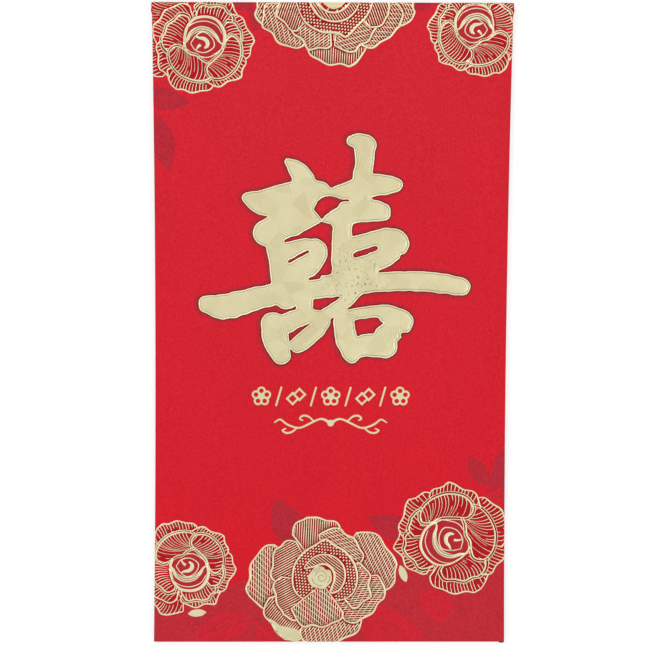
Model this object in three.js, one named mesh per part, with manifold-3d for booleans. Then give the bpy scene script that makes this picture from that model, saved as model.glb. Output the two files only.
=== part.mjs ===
// A gift envelope for a wedding: a sheet of red card folded into a flat pocket, with gold foil on the front.
// Millimetres, +Z up. It lies on its back: X to the right, Y towards the top crease, origin under its middle.
import * as THREE from 'three';
import { mergeVertices } from 'three/addons/utils/BufferGeometryUtils.js';
import Module from 'manifold-3d';

const wasm = await Module();
wasm.setup();

// The envelope
const envelopeWidth = 90;
const envelopeLength = 165;
const cardThickness = 0.25;
const glueThickness = 0.05;
const pocketGap = 0.9; // free height in the pocket, over the seam flap
const foilThickness = 0.08; // the foil and the relief it is pressed into
const foilMargin = 0.1; // bare card between a foil and the start of a fold

// The creases and the cut edges
const creaseSlit = 0.04; // between the two halves of the top crease
const creaseInset = 0.4; // the crease's cut ends, in from the sides
const mouthSetback = 3; // the back panel stops short of the top by this much
const footSetback = 0.3; // and short of the foot's fold by this
const seamEdgeInset = 0.8; // the back panel's free edge, in from the right side
const foldEndInset = 1.1; // the foot's fold, in from the sides

// The flaps
const closureFlapLength = 30;
const closureFlapTaper = 7;
const closureFlapCorner = 5;
const bottomFlapLength = 18;
const bottomFlapTaper = 6;
const bottomFlapCorner = 3;
const seamFlapWidth = 13;
const seamFlapTaper = 5;
const glueInset = 2.5; // bare card round each strip of glue
const cornerSlack = 0.2; // how far a flap's rounded corner leaves the sharp one, as a share of its size
const foldSegments = 10;
const cornerSegments = 6;

// The artwork is drawn on a grid with its middle on the envelope's, and printed to fill the envelope's width.
// What stands near the head or the foot keeps its place from that end.
const artworkGrid = 90; // units of the grid across the envelope, each one millimetre here
const artworkScale = envelopeWidth / artworkGrid;
const ends = { head: envelopeLength / 2, middle: 0, foot: -envelopeLength / 2 };

// The large ornament: brush strokes as x, y and width, from start to end
const brushStrokes = [
  [[-21.4, 33.5, 3], [-17.4, 32.3, 6.6], [-12, 33.2, 8], [-6, 35.1, 6.4], [-2.6, 35.7, 4], [-1.1, 35.2, 2.4]],
  [[-11, 42.6, 2.2], [-9, 40.9, 4.2], [-7.4, 38.4, 5.8], [-7, 33, 6.6]],
  [[-16.6, 24.6, 7], [-12, 26.5, 7.4], [-6.4, 28.3, 5.4], [-3.6, 28, 2]],
  [[-12.6, 30, 5], [-13.6, 24, 6.6], [-12.9, 17, 6.2], [-11.5, 8.5, 7]],
  [[-11.6, 20.4, 3.4], [-7, 21.8, 3], [-3.6, 20.2, 5.2], [-5.4, 16.4, 5.4], [-9.4, 13.4, 6]],
  [[-9.8, 18.4, 3.2], [-6, 18.8, 3]],
  [[0.3, 35.1, 2.4], [4, 35.3, 4.6], [9, 36.7, 6], [13.4, 36.9, 5.2], [16.1, 36.9, 3.8]],
  [[4.9, 48, 2.8], [7.2, 47.9, 4.2], [8.8, 46.8, 5]],
  [[8.2, 47, 5.6], [8.2, 43, 4.9], [7.6, 38, 5], [7.2, 31, 5.8]],
  [[-2.2, 27.8, 1], [1.6, 28.8, 4.4], [6, 30, 5.6], [10, 30.4, 5.8], [12.7, 30, 4.8]],
  [[0.7, 27.3, 2.2], [2.1, 25.6, 3.2]],
  [[3.6, 30.4, 4.8], [2.7, 25, 5], [2.5, 18, 5.3], [2.8, 12, 5]],
  [[5, 21.8, 3.6], [10, 23.3, 3.4], [15.4, 23.6, 4.8], [17.6, 22, 4.6], [14.2, 18.6, 4.8], [8.6, 16.2, 4.4]],
  [[5.4, 17.9, 5], [9.4, 18.9, 5], [13, 20, 4.4]],
  [[-31.9, 6.3, 4.4], [-27.6, 5.6, 6.6], [-18, 8.1, 5.9], [-8, 10.1, 5.6], [2, 11.3, 6], [10, 11.9, 5.2],
    [18, 12.3, 5.2], [25, 12.1, 5.3], [30, 11.4, 5.2], [33.3, 10.8, 4.7]],
  [[-6.9, 9, 4.4], [-6.8, 3.4, 4.6]],
  [[7.6, 10.6, 3], [3.6, 7, 3.4], [-1.2, 3.8, 3.4]],
  [[-15, 1.2, 4.6], [-12, 1.9, 4], [-9, 3, 4], [-4, 3.2, 3.8], [-2.1, 2.1, 3.9], [-5.3, -1.6, 4.7],
    [-8.5, -4.1, 4.4]],
  [[-14.9, 1.2, 6.4], [-14.1, -3, 6.8], [-12.7, -6.9, 4.8]],
  [[-11.1, 0.1, 2.4], [-9, 0.7, 2.2], [-6.8, 1.4, 1.6]],
  [[2.3, 2.2, 3.6], [3.4, -2.6, 4.8], [5.3, -6.7, 4.4]],
  [[3, 3.3, 3.4], [8.6, 4.2, 3.2], [14.4, 3.9, 4.8], [18.7, 1.9, 5], [14, -1.9, 6.2], [13.8, -4.6, 5.8]],
  [[4.9, 1.8, 2], [5.6, -1.8, 2.2]],
  [[5, -5.6, 4.6], [9, -4.2, 6], [14, -4.5, 6.2]],
  [[6, 13.6, 4], [10, 15.2, 4]],
];
// The slots that the brush leaves open inside the ornament, and two notches in its edge
const brushSlots = [
  [[-11.9, 22.5, 0.7], [-10.4, 23, 0.8], [-9, 23.5, 0.9]],
  [[-10.9, 17.2, 0.7], [-8.2, 18.8, 0.6], [-5.8, 20, 0.5]],
  [[6.1, 19, 1.4], [8.8, 19.9, 1.3], [11.4, 20.8, 1.2]],
  [[7.2, 0.3, 2.2], [8.8, 1.2, 2.8], [11.6, 2.1, 1.7]],
  [[-10.3, -2.4, 1], [-8.8, -0.5, 0.9], [-6.6, 0.7, 0.7]],
  [[-5.7, 12.9, 0.7], [-4.4, 13.2, 0.8], [-3.2, 13.4, 1]],
  [[18, 18.7, 1.2], [20.2, 17.6, 2.6]],
  [[18.4, -1.5, 1.2], [20.6, -2.4, 2.6]],
];
const brushSteps = 4; // discs for each stretch of a stroke
const brushSides = 20;
const straightness = 0.025; // a brushed foil's edge is drawn to within this
const smallestHole = 0.3; // square millimetres; the brush closes anything smaller

// The flowers, from the lowest shape to the uppermost. A petal is a list of numbers: direction and half
// spread in degrees, reach from the flower's middle, how far the rim leans as a share of the reach, and the
// shift of its middle. Any other shape is a list of points, which a closed curve runs through.
const rosePetals = [
  [146, 40, 13.2, 0.06], [66, 36, 12.6, -0.06], [-158, 32, 12.9, 0.05], [-108, 36, 13.6, -0.05],
  [14, 37, 13.1, -0.05], [-52, 36, 12.8, 0.06],
  [158, 44, 9.9, 0.06, -0.5, 0.2], [70, 40, 9.6, -0.06, 0.6, 0.9], [6, 38, 9.5, 0.05, 0.7, 0.2],
];
const roseHollow = [
  [-5.2, 0.6], [-4.6, -2.2], [-3, -4.6], [-0.4, -6], [3, -6], [5.4, -3.6], [6.2, 0.2], [6.1, 3.4], [4.2, 6.4],
  [1.2, 7.5], [-2.2, 6.9], [-4.4, 4.4],
];
// Strokes in the hollow, as x, y and width: a crescent, a bud round a curl, and a line beneath
const roseHeart = [
  [[-5.2, -0.6, 0.5], [-4, 1.1, 0.9], [-2.8, 2.9, 1.3], [-0.6, 3.9, 1.5], [1.8, 3.5, 1.4], [3.6, 2, 1],
    [4.6, 0.4, 0.6], [6, -0.5, 0.5]],
  [[-3.2, 0, 0.4], [-1.8, -1.9, 0.4], [0.8, -2.4, 0.4], [3.1, -0.8, 0.4], [2.5, 1.6, 0.4], [0.2, 3.1, 0.4],
    [-1.9, 1.9, 0.4], [-3.2, 0, 0.4]],
  [[-1.9, 1.9, 0.4], [-0.8, 1.5, 0.7], [0.4, 1.3, 1], [1.3, 0.4, 1.1], [1.2, -0.7, 0.9], [0.4, -1.3, 0.5]],
  [[-1.8, -1.9, 0.4], [-1.2, -0.9, 0.6], [-0.5, -0.3, 0.8]],
  [[-4.5, -2.7, 0.4], [-1.4, -3.4, 0.4], [1.6, -3.7, 0.4], [4.2, -2.3, 0.4], [5.9, -0.6, 0.4]],
];
const heartSteps = 2; // discs for each stretch of these strokes
// Two petals that reach over the hollow's lower edge
const roseFront = [
  [[-9.1, -2.4], [-8.6, -5.6], [-6, -8.6], [-2.2, -10.1], [1.2, -9.9], [3, -7.8], [2, -5.6], [0.2, -4.7],
    [-1.6, -3.2], [-3.4, -2.7], [-5.2, -1.3], [-7.2, -0.7]],
  [[1, -6.4], [1.8, -9], [5.2, -9.4], [8.6, -7], [10.3, -3.2], [10, 0.4], [8, 2.2], [6.2, 0.8], [5.2, -2],
    [3.2, -4.2]],
];
// Three of the roses have wider petals behind the rest, which the panel's edges cut off
const roses = [
  {
    name: 'rose_top_left_foil', end: 'head', at: [-32.5, -10.2], turn: 0, scale: 0.93, flip: 1,
    behind: [[188, 32, 16.4, 0.04], [141, 34, 18.6, 0.04]],
  },
  {
    name: 'rose_top_right_foil', end: 'head', at: [35.8, -6.5], turn: 180, scale: 0.88, flip: -1,
    behind: [[146, 36, 16, 0.04]],
  },
  {
    name: 'rose_bottom_left_foil', end: 'foot', at: [-36.6, 20.3], turn: 0, scale: 0.9, flip: -1,
    behind: [[206, 30, 14.6, -0.04], [130, 36, 15, -0.04]],
  },
  {
    name: 'rose_bottom_right_foil', end: 'foot', at: [31.3, 27.5], turn: 134, scale: 1.1, flip: 1,
    behind: [],
  },
];
// The last shape of a peony is its solid middle, and a tip is solid foil at the end of the petal before it
const peonies = [
  {
    name: 'peony_top_foil', end: 'head', at: [0.4, 1.3],
    shapes: [
      [60, 38, 12, 0.03], [120, 38, 12.2, -0.03], [184, 25, 19.4, 0.04], [357, 23, 19.6, -0.04],
      [272, 32, 16.8, 0.03], [211, 27, 18.2, -0.07], [327, 30, 17, 0.08], [236, 34, 13.6, 0.05, -0.6, 0.4],
      [300, 33, 13.6, -0.05, 0.5, 0.2], [186, 36, 14.2, 0.04], [352, 32, 13.6, -0.04],
      [[-9.6, 1.6], [-9.2, -2.6], [-7.2, -6.4], [-3.4, -8.6], [0.6, -8.9], [3, -9.9], [5.6, -7.4],
        [8.4, -4.2], [9.4, 0.6], [5, 7], [-5, 7]],
      [[-2.9, 0.2], [-2.5, -1.5], [-1.1, -2.6], [0.7, -2.7], [2.2, -1.6], [2.7, 0.1], [1.9, 1.9],
        [-0.8, 2.6]],
    ],
  },
  {
    name: 'peony_bottom_foil', end: 'foot', at: [-2.2, 17.5],
    shapes: [
      [94, 30, 15.8, 0.04], [178, 34, 18.6, 0.05], [20, 33, 19, -0.05], [232, 30, 18.4, 0.04],
      { tip: [[-13.4, -11.4], [-12.2, -15.4], [-8.6, -17.8], [-4.6, -16.2], [-5.6, -14.4], [-8, -13.4],
        [-10.4, -12.9], [-12.2, -11.6]] },
      [284, 35, 18, -0.05], [-30, 33, 16.4, 0.05], [158, 36, 13, -0.04, -0.4, 0], [58, 38, 13, 0.04, 0.4, 0],
      [214, 38, 12.9, 0.05, -0.3, -0.4], [-10, 36, 12.6, -0.04, 0.2, -0.4],
      [[-7.4, -2.4], [-5.2, -5.6], [-0.6, -6.6], [4.8, -6.4], [8.2, -4.6], [9.5, -0.6], [8.7, 3.6], [6.2, 7],
        [3.2, 8.8], [1.2, 10.3], [-1.4, 8.9], [-4.8, 6.6], [-7.2, 2.8]],
      [[2.2, -4.2], [4.7, -3.7], [6.3, -0.6], [5.8, 3.2], [3, 5.8], [-0.6, 6.1], [-3.4, 4.3], [-4.5, 2.2],
        [-2.2, 2.5], [0.8, 3.3], [2.9, 1.7], [3.2, -0.8]],
      [262, 38, 13.2, -0.04, 0.6, -0.2],
      [[-3.2, 0.2], [-3, -1.6], [-1.5, -2.9], [0.5, -3], [2.3, -1.9], [2.8, 0.1], [2.2, 1.7], [1.2, 2.1],
        [0.2, 2.9], [-1.7, 2.5]],
    ],
  },
];
const petalSteps = 12;
const petalBase = 2.2; // distance of a petal's narrow end from the flower's middle
const petalBaseSpread = 0.5; // half spread of that end, as a share of the petal's own
const petalBaseEdge = 3; // the foil edge there, measured along the petal, in edge widths
const petalDroop = 0.15; // how far the rim falls back at both sides, as a share of the reach
const petalWave = 0.3; // how far the rim waves
const petalPoint = 0.8; // and how far it comes to a point, this far to one side and this wide
const petalPointAt = 0.32;
const petalPointWidth = 0.36;
const outlineWidth = 0.5; // of a petal's foil edge
const curveSteps = 3; // points for each stretch of a closed curve
const leaves = [
  { name: 'leaf_left_foil', end: 'foot', at: [-34, 7.9], turn: 5 },
  { name: 'leaf_right_foil', end: 'foot', at: [18.9, 18.4], turn: 110 },
];
const leafLength = 4.4;
const leafWidth = 1.9;
const leafTip = 0.4;

// The row of small ornaments, the slanted bars between them and the scroll beneath
const rowHeight = -17.5;
const rowPitch = 8.9;
const ornamentCount = 5;
const ornamentSize = 5.2;
const rowLine = 0.55; // width of the row's foil lines
const blossomPetals = 5;
const petalShare = 0.44; // radius of a blossom's round petal, as a share of the blossom's
const budShare = 0.26; // and of its bud
const lozengeShare = 0.7; // reach of one lozenge, as a share of the ornament's
const lozengeShift = [0.48, 0.3]; // of each lozenge to the side and up, as a share of its reach
const slashRise = 4.6;
const slashLean = 1.3;
const scrollHeight = -24.4;
const scrollHalfWidth = 14.4;
const scrollCurl = 1.6;
const scrollBead = 0.9;
// Half of the scroll: x as a share of its half width, y as a share of its curl, and width
const scrollStrokes = [
  [[0, 0, 0.9], [0.16, 0.7, 0.55], [0.36, 0, 0.55], [0.56, -0.8, 0.55], [0.78, -0.2, 0.55], [0.9, 0.6, 0.5],
    [1, 0.1, 0.4]],
  [[0.3, 0.3, 0.4], [0.4, 1.1, 0.55], [0.5, 1.2, 0.55], [0.55, 0.7, 0.5], [0.5, 0.45, 0.4]],
  [[0.6, -0.8, 0.4], [0.7, -1.5, 0.55], [0.8, -1.6, 0.55], [0.86, -1.2, 0.5], [0.8, -0.9, 0.4]],
];
const scrollSteps = 3; // discs for each stretch of the scroll
const ringSides = 14;

// Heights of the layers, from the table up
const backBottom = cardThickness + glueThickness;
const backTop = backBottom + cardThickness;
const seamBottom = backTop + glueThickness;
const seamTop = seamBottom + cardThickness;
const frontBottom = seamTop + pocketGap;
const frontTop = frontBottom + cardThickness;

// Outer radii of the folds
const leftRadius = (frontTop - backBottom) / 2;
const rightRadius = (frontTop - seamBottom) / 2;
const endRadius = frontTop / 2; // the top crease and the foot's fold go all the way down to the table

// The front panel's flat part, and the edges of the panels behind it
const left = -envelopeWidth / 2 + leftRadius;
const right = envelopeWidth / 2 - rightRadius;
const foot = -envelopeLength / 2 + endRadius;
const head = envelopeLength / 2 - endRadius;
const mouth = envelopeLength / 2 - mouthSetback;
const backFoot = foot + footSetback;

const card = new THREE.MeshStandardMaterial({ color: 0xd0202d, roughness: 0.85, metalness: 0 });
const glue = new THREE.MeshStandardMaterial({ color: 0xe9e2cf, roughness: 0.5, metalness: 0 });
const foil = new THREE.MeshStandardMaterial({ color: 0xdfd6aa, roughness: 0.4, metalness: 0.6 });

const envelope = new THREE.Group();

function addPiece(name, geometry, material) {
  const piece = new THREE.Mesh(geometry, material);
  piece.name = name;
  envelope.add(piece);
}

// Flat shapes

function outlineOf(points) {
  return new THREE.Shape(points.map(([x, y]) => new THREE.Vector2(x, y)));
}

function plate(shape, bottom, top) {
  const geometry = new THREE.ExtrudeGeometry(shape, {
    depth: top - bottom, bevelEnabled: false, curveSegments: cornerSegments,
  });
  geometry.translate(0, 0, bottom);
  return geometry;
}

// A strip of card: its base on the line y = start, narrowing to y = end, where its corners are rounded
function flapShape(leftEdge, rightEdge, start, end, taper, corner) {
  const way = Math.sign(end - start);
  const shape = new THREE.Shape();
  shape.moveTo(leftEdge, start);
  shape.lineTo(rightEdge, start);
  shape.lineTo(rightEdge - taper, end - way * corner);
  shape.quadraticCurveTo(rightEdge - taper - corner * cornerSlack, end, rightEdge - taper - corner, end);
  shape.lineTo(leftEdge + taper + corner, end);
  shape.quadraticCurveTo(leftEdge + taper + corner * cornerSlack, end, leftEdge + taper, end - way * corner);
  shape.closePath();
  return shape;
}

// Solids for cutting and joining

function solidOf(geometry) {
  const bare = geometry.clone();
  bare.deleteAttribute('normal');
  bare.deleteAttribute('uv');
  const merged = mergeVertices(bare, 1e-5);
  return new wasm.Manifold(new wasm.Mesh({
    numProp: 3,
    vertProperties: new Float32Array(merged.attributes.position.array),
    triVerts: new Uint32Array(merged.index.array),
  }));
}

// The edge of a flat solid's top face, as loops of points: outer loops run anticlockwise and holes clockwise
function loopsOf(solid) {
  const { vertProperties, triVerts } = solid.getMesh();
  const onTop = (vertex) => vertProperties[3 * vertex + 2] > frontTop + foilThickness / 2;
  const edges = new Set();
  for (let i = 0; i < triVerts.length; i += 3) {
    const corners = [...triVerts.subarray(i, i + 3)];
    if (!corners.every(onTop)) continue;
    corners.forEach((from, k) => {
      const to = corners[(k + 1) % 3];
      if (!edges.delete(`${to} ${from}`)) edges.add(`${from} ${to}`);
    });
  }
  const next = new Map([...edges].map((edge) => edge.split(' ').map(Number)));
  const loops = [];
  while (next.size > 0) {
    const loop = [];
    let [vertex] = next.keys();
    while (next.has(vertex)) {
      loop.push(new THREE.Vector2(vertProperties[3 * vertex], vertProperties[3 * vertex + 1]));
      const following = next.get(vertex);
      next.delete(vertex);
      vertex = following;
    }
    loops.push(thinned(loop));
  }
  return loops.filter((loop) => loop.length > 2);
}

// Leaves out the points that lie on a nearly straight run
function thinned(loop) {
  const kept = [];
  loop.forEach((point, i) => {
    const before = kept.length > 0 ? kept[kept.length - 1] : loop[loop.length - 1];
    const after = loop[(i + 1) % loop.length];
    const run = after.clone().sub(before);
    const off = Math.abs(run.cross(point.clone().sub(before))) / Math.max(run.length(), straightness);
    if (off > straightness && point.distanceTo(before) > straightness) kept.push(point);
  });
  return kept;
}

function holds(loop, point) {
  let inside = false;
  loop.forEach((a, i) => {
    const b = loop[(i + 1) % loop.length];
    if ((a.y > point.y) !== (b.y > point.y)
      && point.x < a.x + (b.x - a.x) * (point.y - a.y) / (b.y - a.y)) inside = !inside;
  });
  return inside;
}

// One brushed foil: the largest loop of what its strokes make together, with its holes
function foilGeometry(solid) {
  const loops = loopsOf(solid);
  const area = THREE.ShapeUtils.area;
  const outer = loops.reduce((best, loop) => (area(loop) > area(best) ? loop : best));
  const shape = new THREE.Shape(outer);
  const holes = loops.filter((loop) => area(loop) < -smallestHole && holds(outer, loop[0]));
  shape.holes = holes.map((loop) => new THREE.Path(loop));
  return plate(shape, frontTop, frontTop + foilThickness);
}

// The largest body of a solid: what the panel's edge cuts loose is left out
function largestGeometry(solid) {
  const largest = solid.decompose().reduce((best, body) => (body.volume() > best.volume() ? body : best));
  const mesh = largest.getMesh();
  const geometry = new THREE.BufferGeometry();
  geometry.setAttribute('position', new THREE.BufferAttribute(mesh.vertProperties, 3));
  geometry.setIndex(new THREE.BufferAttribute(mesh.triVerts, 1));
  return geometry;
}

function foilSolid(points) {
  return solidOf(plate(outlineOf(points), frontTop, frontTop + foilThickness));
}

function joinAll(solids) {
  return solids.reduce((whole, solid) => whole.add(solid));
}

// A brush stroke through points of x, y and width: discs along a smooth path, each wrapped with the next
function strokeSolid(stroke, steps = brushSteps) {
  const path = new THREE.CatmullRomCurve3(stroke.map(([x, y, width]) => new THREE.Vector3(x, y, width)));
  const discs = path.getPoints((stroke.length - 1) * steps);
  const links = discs.slice(1).map((end, i) => foilSolid(Array.from({ length: brushSides }, (_, side) => {
    const [c, s] = [Math.cos(2 * Math.PI * side / brushSides), Math.sin(2 * Math.PI * side / brushSides)];
    const reach = (disc) => disc.x * c + disc.y * s + disc.z / 2;
    const disc = reach(discs[i]) > reach(end) ? discs[i] : end;
    return [disc.x + disc.z / 2 * c, disc.y + disc.z / 2 * s];
  })));
  return joinAll(links);
}

// One petal seen from above: a fan from the base out to its reach, with a waved and softly pointed rim
function petalOutline([direction, spread, reach, lean, shiftX = 0, shiftY = 0], inset = 0) {
  const middle = THREE.MathUtils.degToRad(direction);
  const half = THREE.MathUtils.degToRad(spread);
  const pointAt = Math.sign(lean) * petalPointAt;
  const points = [];
  for (let i = 0; i <= petalSteps; i += 1) {
    const across = 2 * i / petalSteps - 1;
    const peak = Math.max(1 - Math.abs(across - pointAt) / petalPointWidth, 0) ** 2;
    const wave = petalWave * Math.cos(3 * Math.PI * across + direction) + petalPoint * peak;
    const radius = reach * (1 - petalDroop * across ** 4 + lean * across) + wave - inset;
    const angle = middle + across * (half - inset / radius);
    points.push([radius * Math.cos(angle), radius * Math.sin(angle)]);
  }
  const base = petalBase + inset * petalBaseEdge;
  for (const side of [petalBaseSpread, -petalBaseSpread]) {
    points.push([base * Math.cos(middle + half * side), base * Math.sin(middle + half * side)]);
  }
  return points.map(([x, y]) => [x + shiftX, y + shiftY]);
}

// A closed curve through a few points, each given the same width
function curveOutline(corners, width = 0) {
  const path = new THREE.CatmullRomCurve3(corners.map(([x, y]) => new THREE.Vector3(x, y, width)), true);
  return path.getPoints(corners.length * curveSteps).slice(1).map(({ x, y, z }) => [x, y, z]);
}

function ringOutline(radius, sides) {
  return Array.from({ length: sides }, (_, i) => {
    const angle = 2 * Math.PI * i / sides;
    return [radius * Math.cos(angle), radius * Math.sin(angle)];
  });
}

// From a motif's own units to millimetres on the front
function placed(points, { at = [0, 0], end = 'middle', turn = 0, scale = 1, flip = 1 }) {
  const angle = THREE.MathUtils.degToRad(turn);
  const [c, s] = [Math.cos(angle) * scale, Math.sin(angle) * scale];
  return points.map(([x, y, width]) => [
    (at[0] + x * c - y * flip * s) * artworkScale,
    (at[1] + x * s + y * flip * c) * artworkScale + ends[end],
    width * artworkScale,
  ]);
}

// What a petal or a closed curve covers, and its foil edge
function coverOf(shape, place) {
  const points = Array.isArray(shape[0]) ? curveOutline(shape) : petalOutline(shape, outlineWidth / 2);
  return foilSolid(placed(points, place));
}

function edgeOf(shape, place) {
  if (Array.isArray(shape[0])) {
    const line = curveOutline(shape, outlineWidth);
    return strokeSolid(placed([...line, line[0]], place), 1);
  }
  const within = (inset) => foilSolid(placed(petalOutline(shape, inset), place));
  return within(0).subtract(within(outlineWidth));
}

// Shapes are laid from the lowest up, and each clears what it covers
function laid(shapes, place, start = null) {
  return shapes.reduce((flower, shape, i) => {
    if (shape.tip) {
      const tip = foilSolid(placed(curveOutline(shape.tip), place));
      return flower.add(tip.intersect(coverOf(shapes[i - 1], place)));
    }
    return flower ? flower.subtract(coverOf(shape, place)).add(edgeOf(shape, place)) : edgeOf(shape, place);
  }, start);
}

function roseSolid(place) {
  const heart = joinAll(roseHeart.map((stroke) => strokeSolid(placed(stroke, place), heartSteps)));
  return laid(roseFront, place, laid([...place.behind, ...rosePetals, roseHollow], place).add(heart));
}

function peonySolid(peony) {
  return laid(peony.shapes, peony).add(coverOf(peony.shapes[peony.shapes.length - 1], peony));
}

// Foil stops where the front panel starts to bend
const panelArea = foilSolid([
  [left + foilMargin, foot + foilMargin], [right - foilMargin, foot + foilMargin],
  [right - foilMargin, head - foilMargin], [left + foilMargin, head - foilMargin],
]);

// The card panels
const front = outlineOf([
  [left, foot], [right, foot], [right, mouth], [envelopeWidth / 2, mouth], [envelopeWidth / 2, head],
  [-envelopeWidth / 2, head], [-envelopeWidth / 2, mouth], [left, mouth],
]);
addPiece('front_panel', plate(front, frontBottom, frontTop), card);

const backRight = envelopeWidth / 2 - seamEdgeInset;
const back = outlineOf([[left, backFoot], [backRight, backFoot], [backRight, mouth], [left, mouth]]);
addPiece('back_panel', plate(back, backBottom, backTop), card);

// A rounded fold: part of a ring, drawn across the fold and then laid along it
function foldShape(radius, from, to) {
  const shape = new THREE.Shape();
  shape.absarc(0, 0, radius, from, to, false);
  shape.absarc(0, 0, radius - cardThickness, to, from, true);
  return shape;
}

function sideFold(radius, from, to, x, z, start, end) {
  const geometry = new THREE.ExtrudeGeometry(foldShape(radius, from, to), {
    depth: end - start, bevelEnabled: false, curveSegments: foldSegments,
  });
  geometry.rotateX(Math.PI / 2);
  geometry.translate(x, end, z);
  return geometry;
}

function endFold(radius, from, to, y, z, halfLength) {
  const geometry = new THREE.ExtrudeGeometry(foldShape(radius, from, to), {
    depth: 2 * halfLength, bevelEnabled: false, curveSegments: foldSegments,
  });
  geometry.rotateZ(Math.PI / 2);
  geometry.rotateY(Math.PI / 2);
  geometry.translate(-halfLength, y, z);
  return geometry;
}

const quarter = Math.PI / 2;
const leftFold = sideFold(leftRadius, quarter, 3 * quarter, left, frontTop - leftRadius, backFoot, mouth);
addPiece('left_fold', leftFold, card);
const rightFold = sideFold(rightRadius, -quarter, quarter, right, frontTop - rightRadius, backFoot, mouth);
addPiece('right_fold', rightFold, card);

const slitAngle = creaseSlit / endRadius;
const creaseHalfLength = envelopeWidth / 2 - creaseInset;
const footFold = endFold(endRadius, quarter, 3 * quarter, foot, endRadius, envelopeWidth / 2 - foldEndInset);
addPiece('bottom_fold', footFold, card);
addPiece('closure_crease', endFold(endRadius, slitAngle, quarter, head, endRadius, creaseHalfLength), card);
addPiece('flap_crease', endFold(endRadius, -quarter, -slitAngle, head, endRadius, creaseHalfLength), card);

const closure = flapShape(-creaseHalfLength, creaseHalfLength, head, head - closureFlapLength,
  closureFlapTaper, closureFlapCorner);
addPiece('closure_flap', plate(closure, 0, cardThickness), card);

const bottomHalf = envelopeWidth / 2 - foldEndInset;
const bottom = flapShape(-bottomHalf, bottomHalf, foot, foot + bottomFlapLength,
  bottomFlapTaper, bottomFlapCorner);
addPiece('bottom_flap', plate(bottom, 0, cardThickness), card);
const bottomGlue = flapShape(-bottomHalf + glueInset * 2, bottomHalf - glueInset * 2, backFoot + glueInset,
  foot + bottomFlapLength - glueInset, bottomFlapTaper, bottomFlapCorner);
addPiece('bottom_flap_glue', plate(bottomGlue, cardThickness, backBottom), glue);

const seamLeft = right - seamFlapWidth;
const seam = outlineOf([
  [right, backFoot], [right, mouth], [seamLeft, mouth - seamFlapTaper], [seamLeft, backFoot + seamFlapTaper],
]);
addPiece('seam_flap', plate(seam, seamBottom, seamTop), card);
const seamGlue = outlineOf([
  [backRight - glueInset, backFoot + seamFlapTaper], [backRight - glueInset, mouth - seamFlapTaper],
  [seamLeft + glueInset, mouth - 2 * seamFlapTaper], [seamLeft + glueInset, backFoot + 2 * seamFlapTaper],
]);
addPiece('seam_glue', plate(seamGlue, backTop, seamBottom), glue);

// The foils
const strokes = joinAll(brushStrokes.map((stroke) => strokeSolid(placed(stroke, {}))));
const slots = joinAll(brushSlots.map((slot) => strokeSolid(placed(slot, {}))));
addPiece('double_happiness_foil', foilGeometry(strokes.subtract(slots)), foil);

for (const rose of roses) {
  addPiece(rose.name, largestGeometry(roseSolid(rose).intersect(panelArea)), foil);
}
for (const peony of peonies) {
  addPiece(peony.name, largestGeometry(peonySolid(peony).intersect(panelArea)), foil);
}
for (const leaf of leaves) {
  const blade = [[-leafLength / 2, 0, leafTip], [-leafLength / 6, 0, leafWidth],
    [leafLength / 6, 0, leafWidth], [leafLength / 2, 0, leafTip]];
  addPiece(leaf.name, foilGeometry(strokeSolid(placed(blade, leaf))), foil);
}

// A five-petalled blossom and a pair of joined lozenges take turns along the row
function blossom(place) {
  const reach = ornamentSize / 2;
  const parts = Array.from({ length: blossomPetals }, (_, i) => {
    const angle = Math.PI / 2 + 2 * Math.PI * i / blossomPetals;
    const middle = reach * (1 - petalShare);
    const at = [place.at[0] + middle * Math.cos(angle), place.at[1] + middle * Math.sin(angle)];
    const round = (radius) => foilSolid(placed(ringOutline(radius, ringSides), { at }));
    return round(reach * petalShare).subtract(round(reach * petalShare - rowLine));
  });
  return joinAll([...parts, foilSolid(placed(ringOutline(reach * budShare, ringSides), place))]);
}

function lozenges(place) {
  const reach = ornamentSize / 2 * lozengeShare;
  const frames = [-1, 1].map((side) => {
    const at = place.at.map((middle, axis) => middle + side * reach * lozengeShift[axis]);
    const square = (radius) => foilSolid(placed(ringOutline(radius, 4), { at }));
    return square(reach).subtract(square(reach - rowLine * Math.SQRT2));
  });
  return joinAll(frames);
}

for (let i = 0; i < ornamentCount; i += 1) {
  const place = { at: [(i - (ornamentCount - 1) / 2) * rowPitch, rowHeight] };
  addPiece(`ornament_${i + 1}_foil`, foilGeometry(i % 2 ? lozenges(place) : blossom(place)), foil);
}
for (let i = 0; i < ornamentCount - 1; i += 1) {
  const x = (i - (ornamentCount - 2) / 2) * rowPitch;
  const bar = [[x - slashLean / 2, rowHeight - slashRise / 2, rowLine],
    [x + slashLean / 2, rowHeight + slashRise / 2, rowLine]];
  addPiece(`slash_${i + 1}_foil`, foilGeometry(strokeSolid(placed(bar, {}), 1)), foil);
}

// The scroll: two mirrored vines that leave a middle bead, each with a curl above and one below
const bead = foilSolid(placed(ringOutline(scrollBead, ringSides), { at: [0, scrollHeight] }));
const vines = [-1, 1].flatMap((side) => scrollStrokes.map((stroke) => {
  const path = stroke.map(([x, y, width]) => (
    [side * scrollHalfWidth * x, scrollHeight + scrollCurl * y, width]));
  return strokeSolid(placed(path, {}), scrollSteps);
}));
addPiece('scroll_foil', foilGeometry(joinAll([bead, ...vines])), foil);

export default envelope;
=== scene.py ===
# A wedding gift envelope: a sheet of red card folded flat, with gold foil and dark red ink on it.
# The card is cut flat, in millimetres, and then folded, and everything printed on it is folded with it.
import math
import random

import bpy
import numpy as np
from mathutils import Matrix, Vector
from mathutils.geometry import delaunay_2d_cdt


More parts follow.
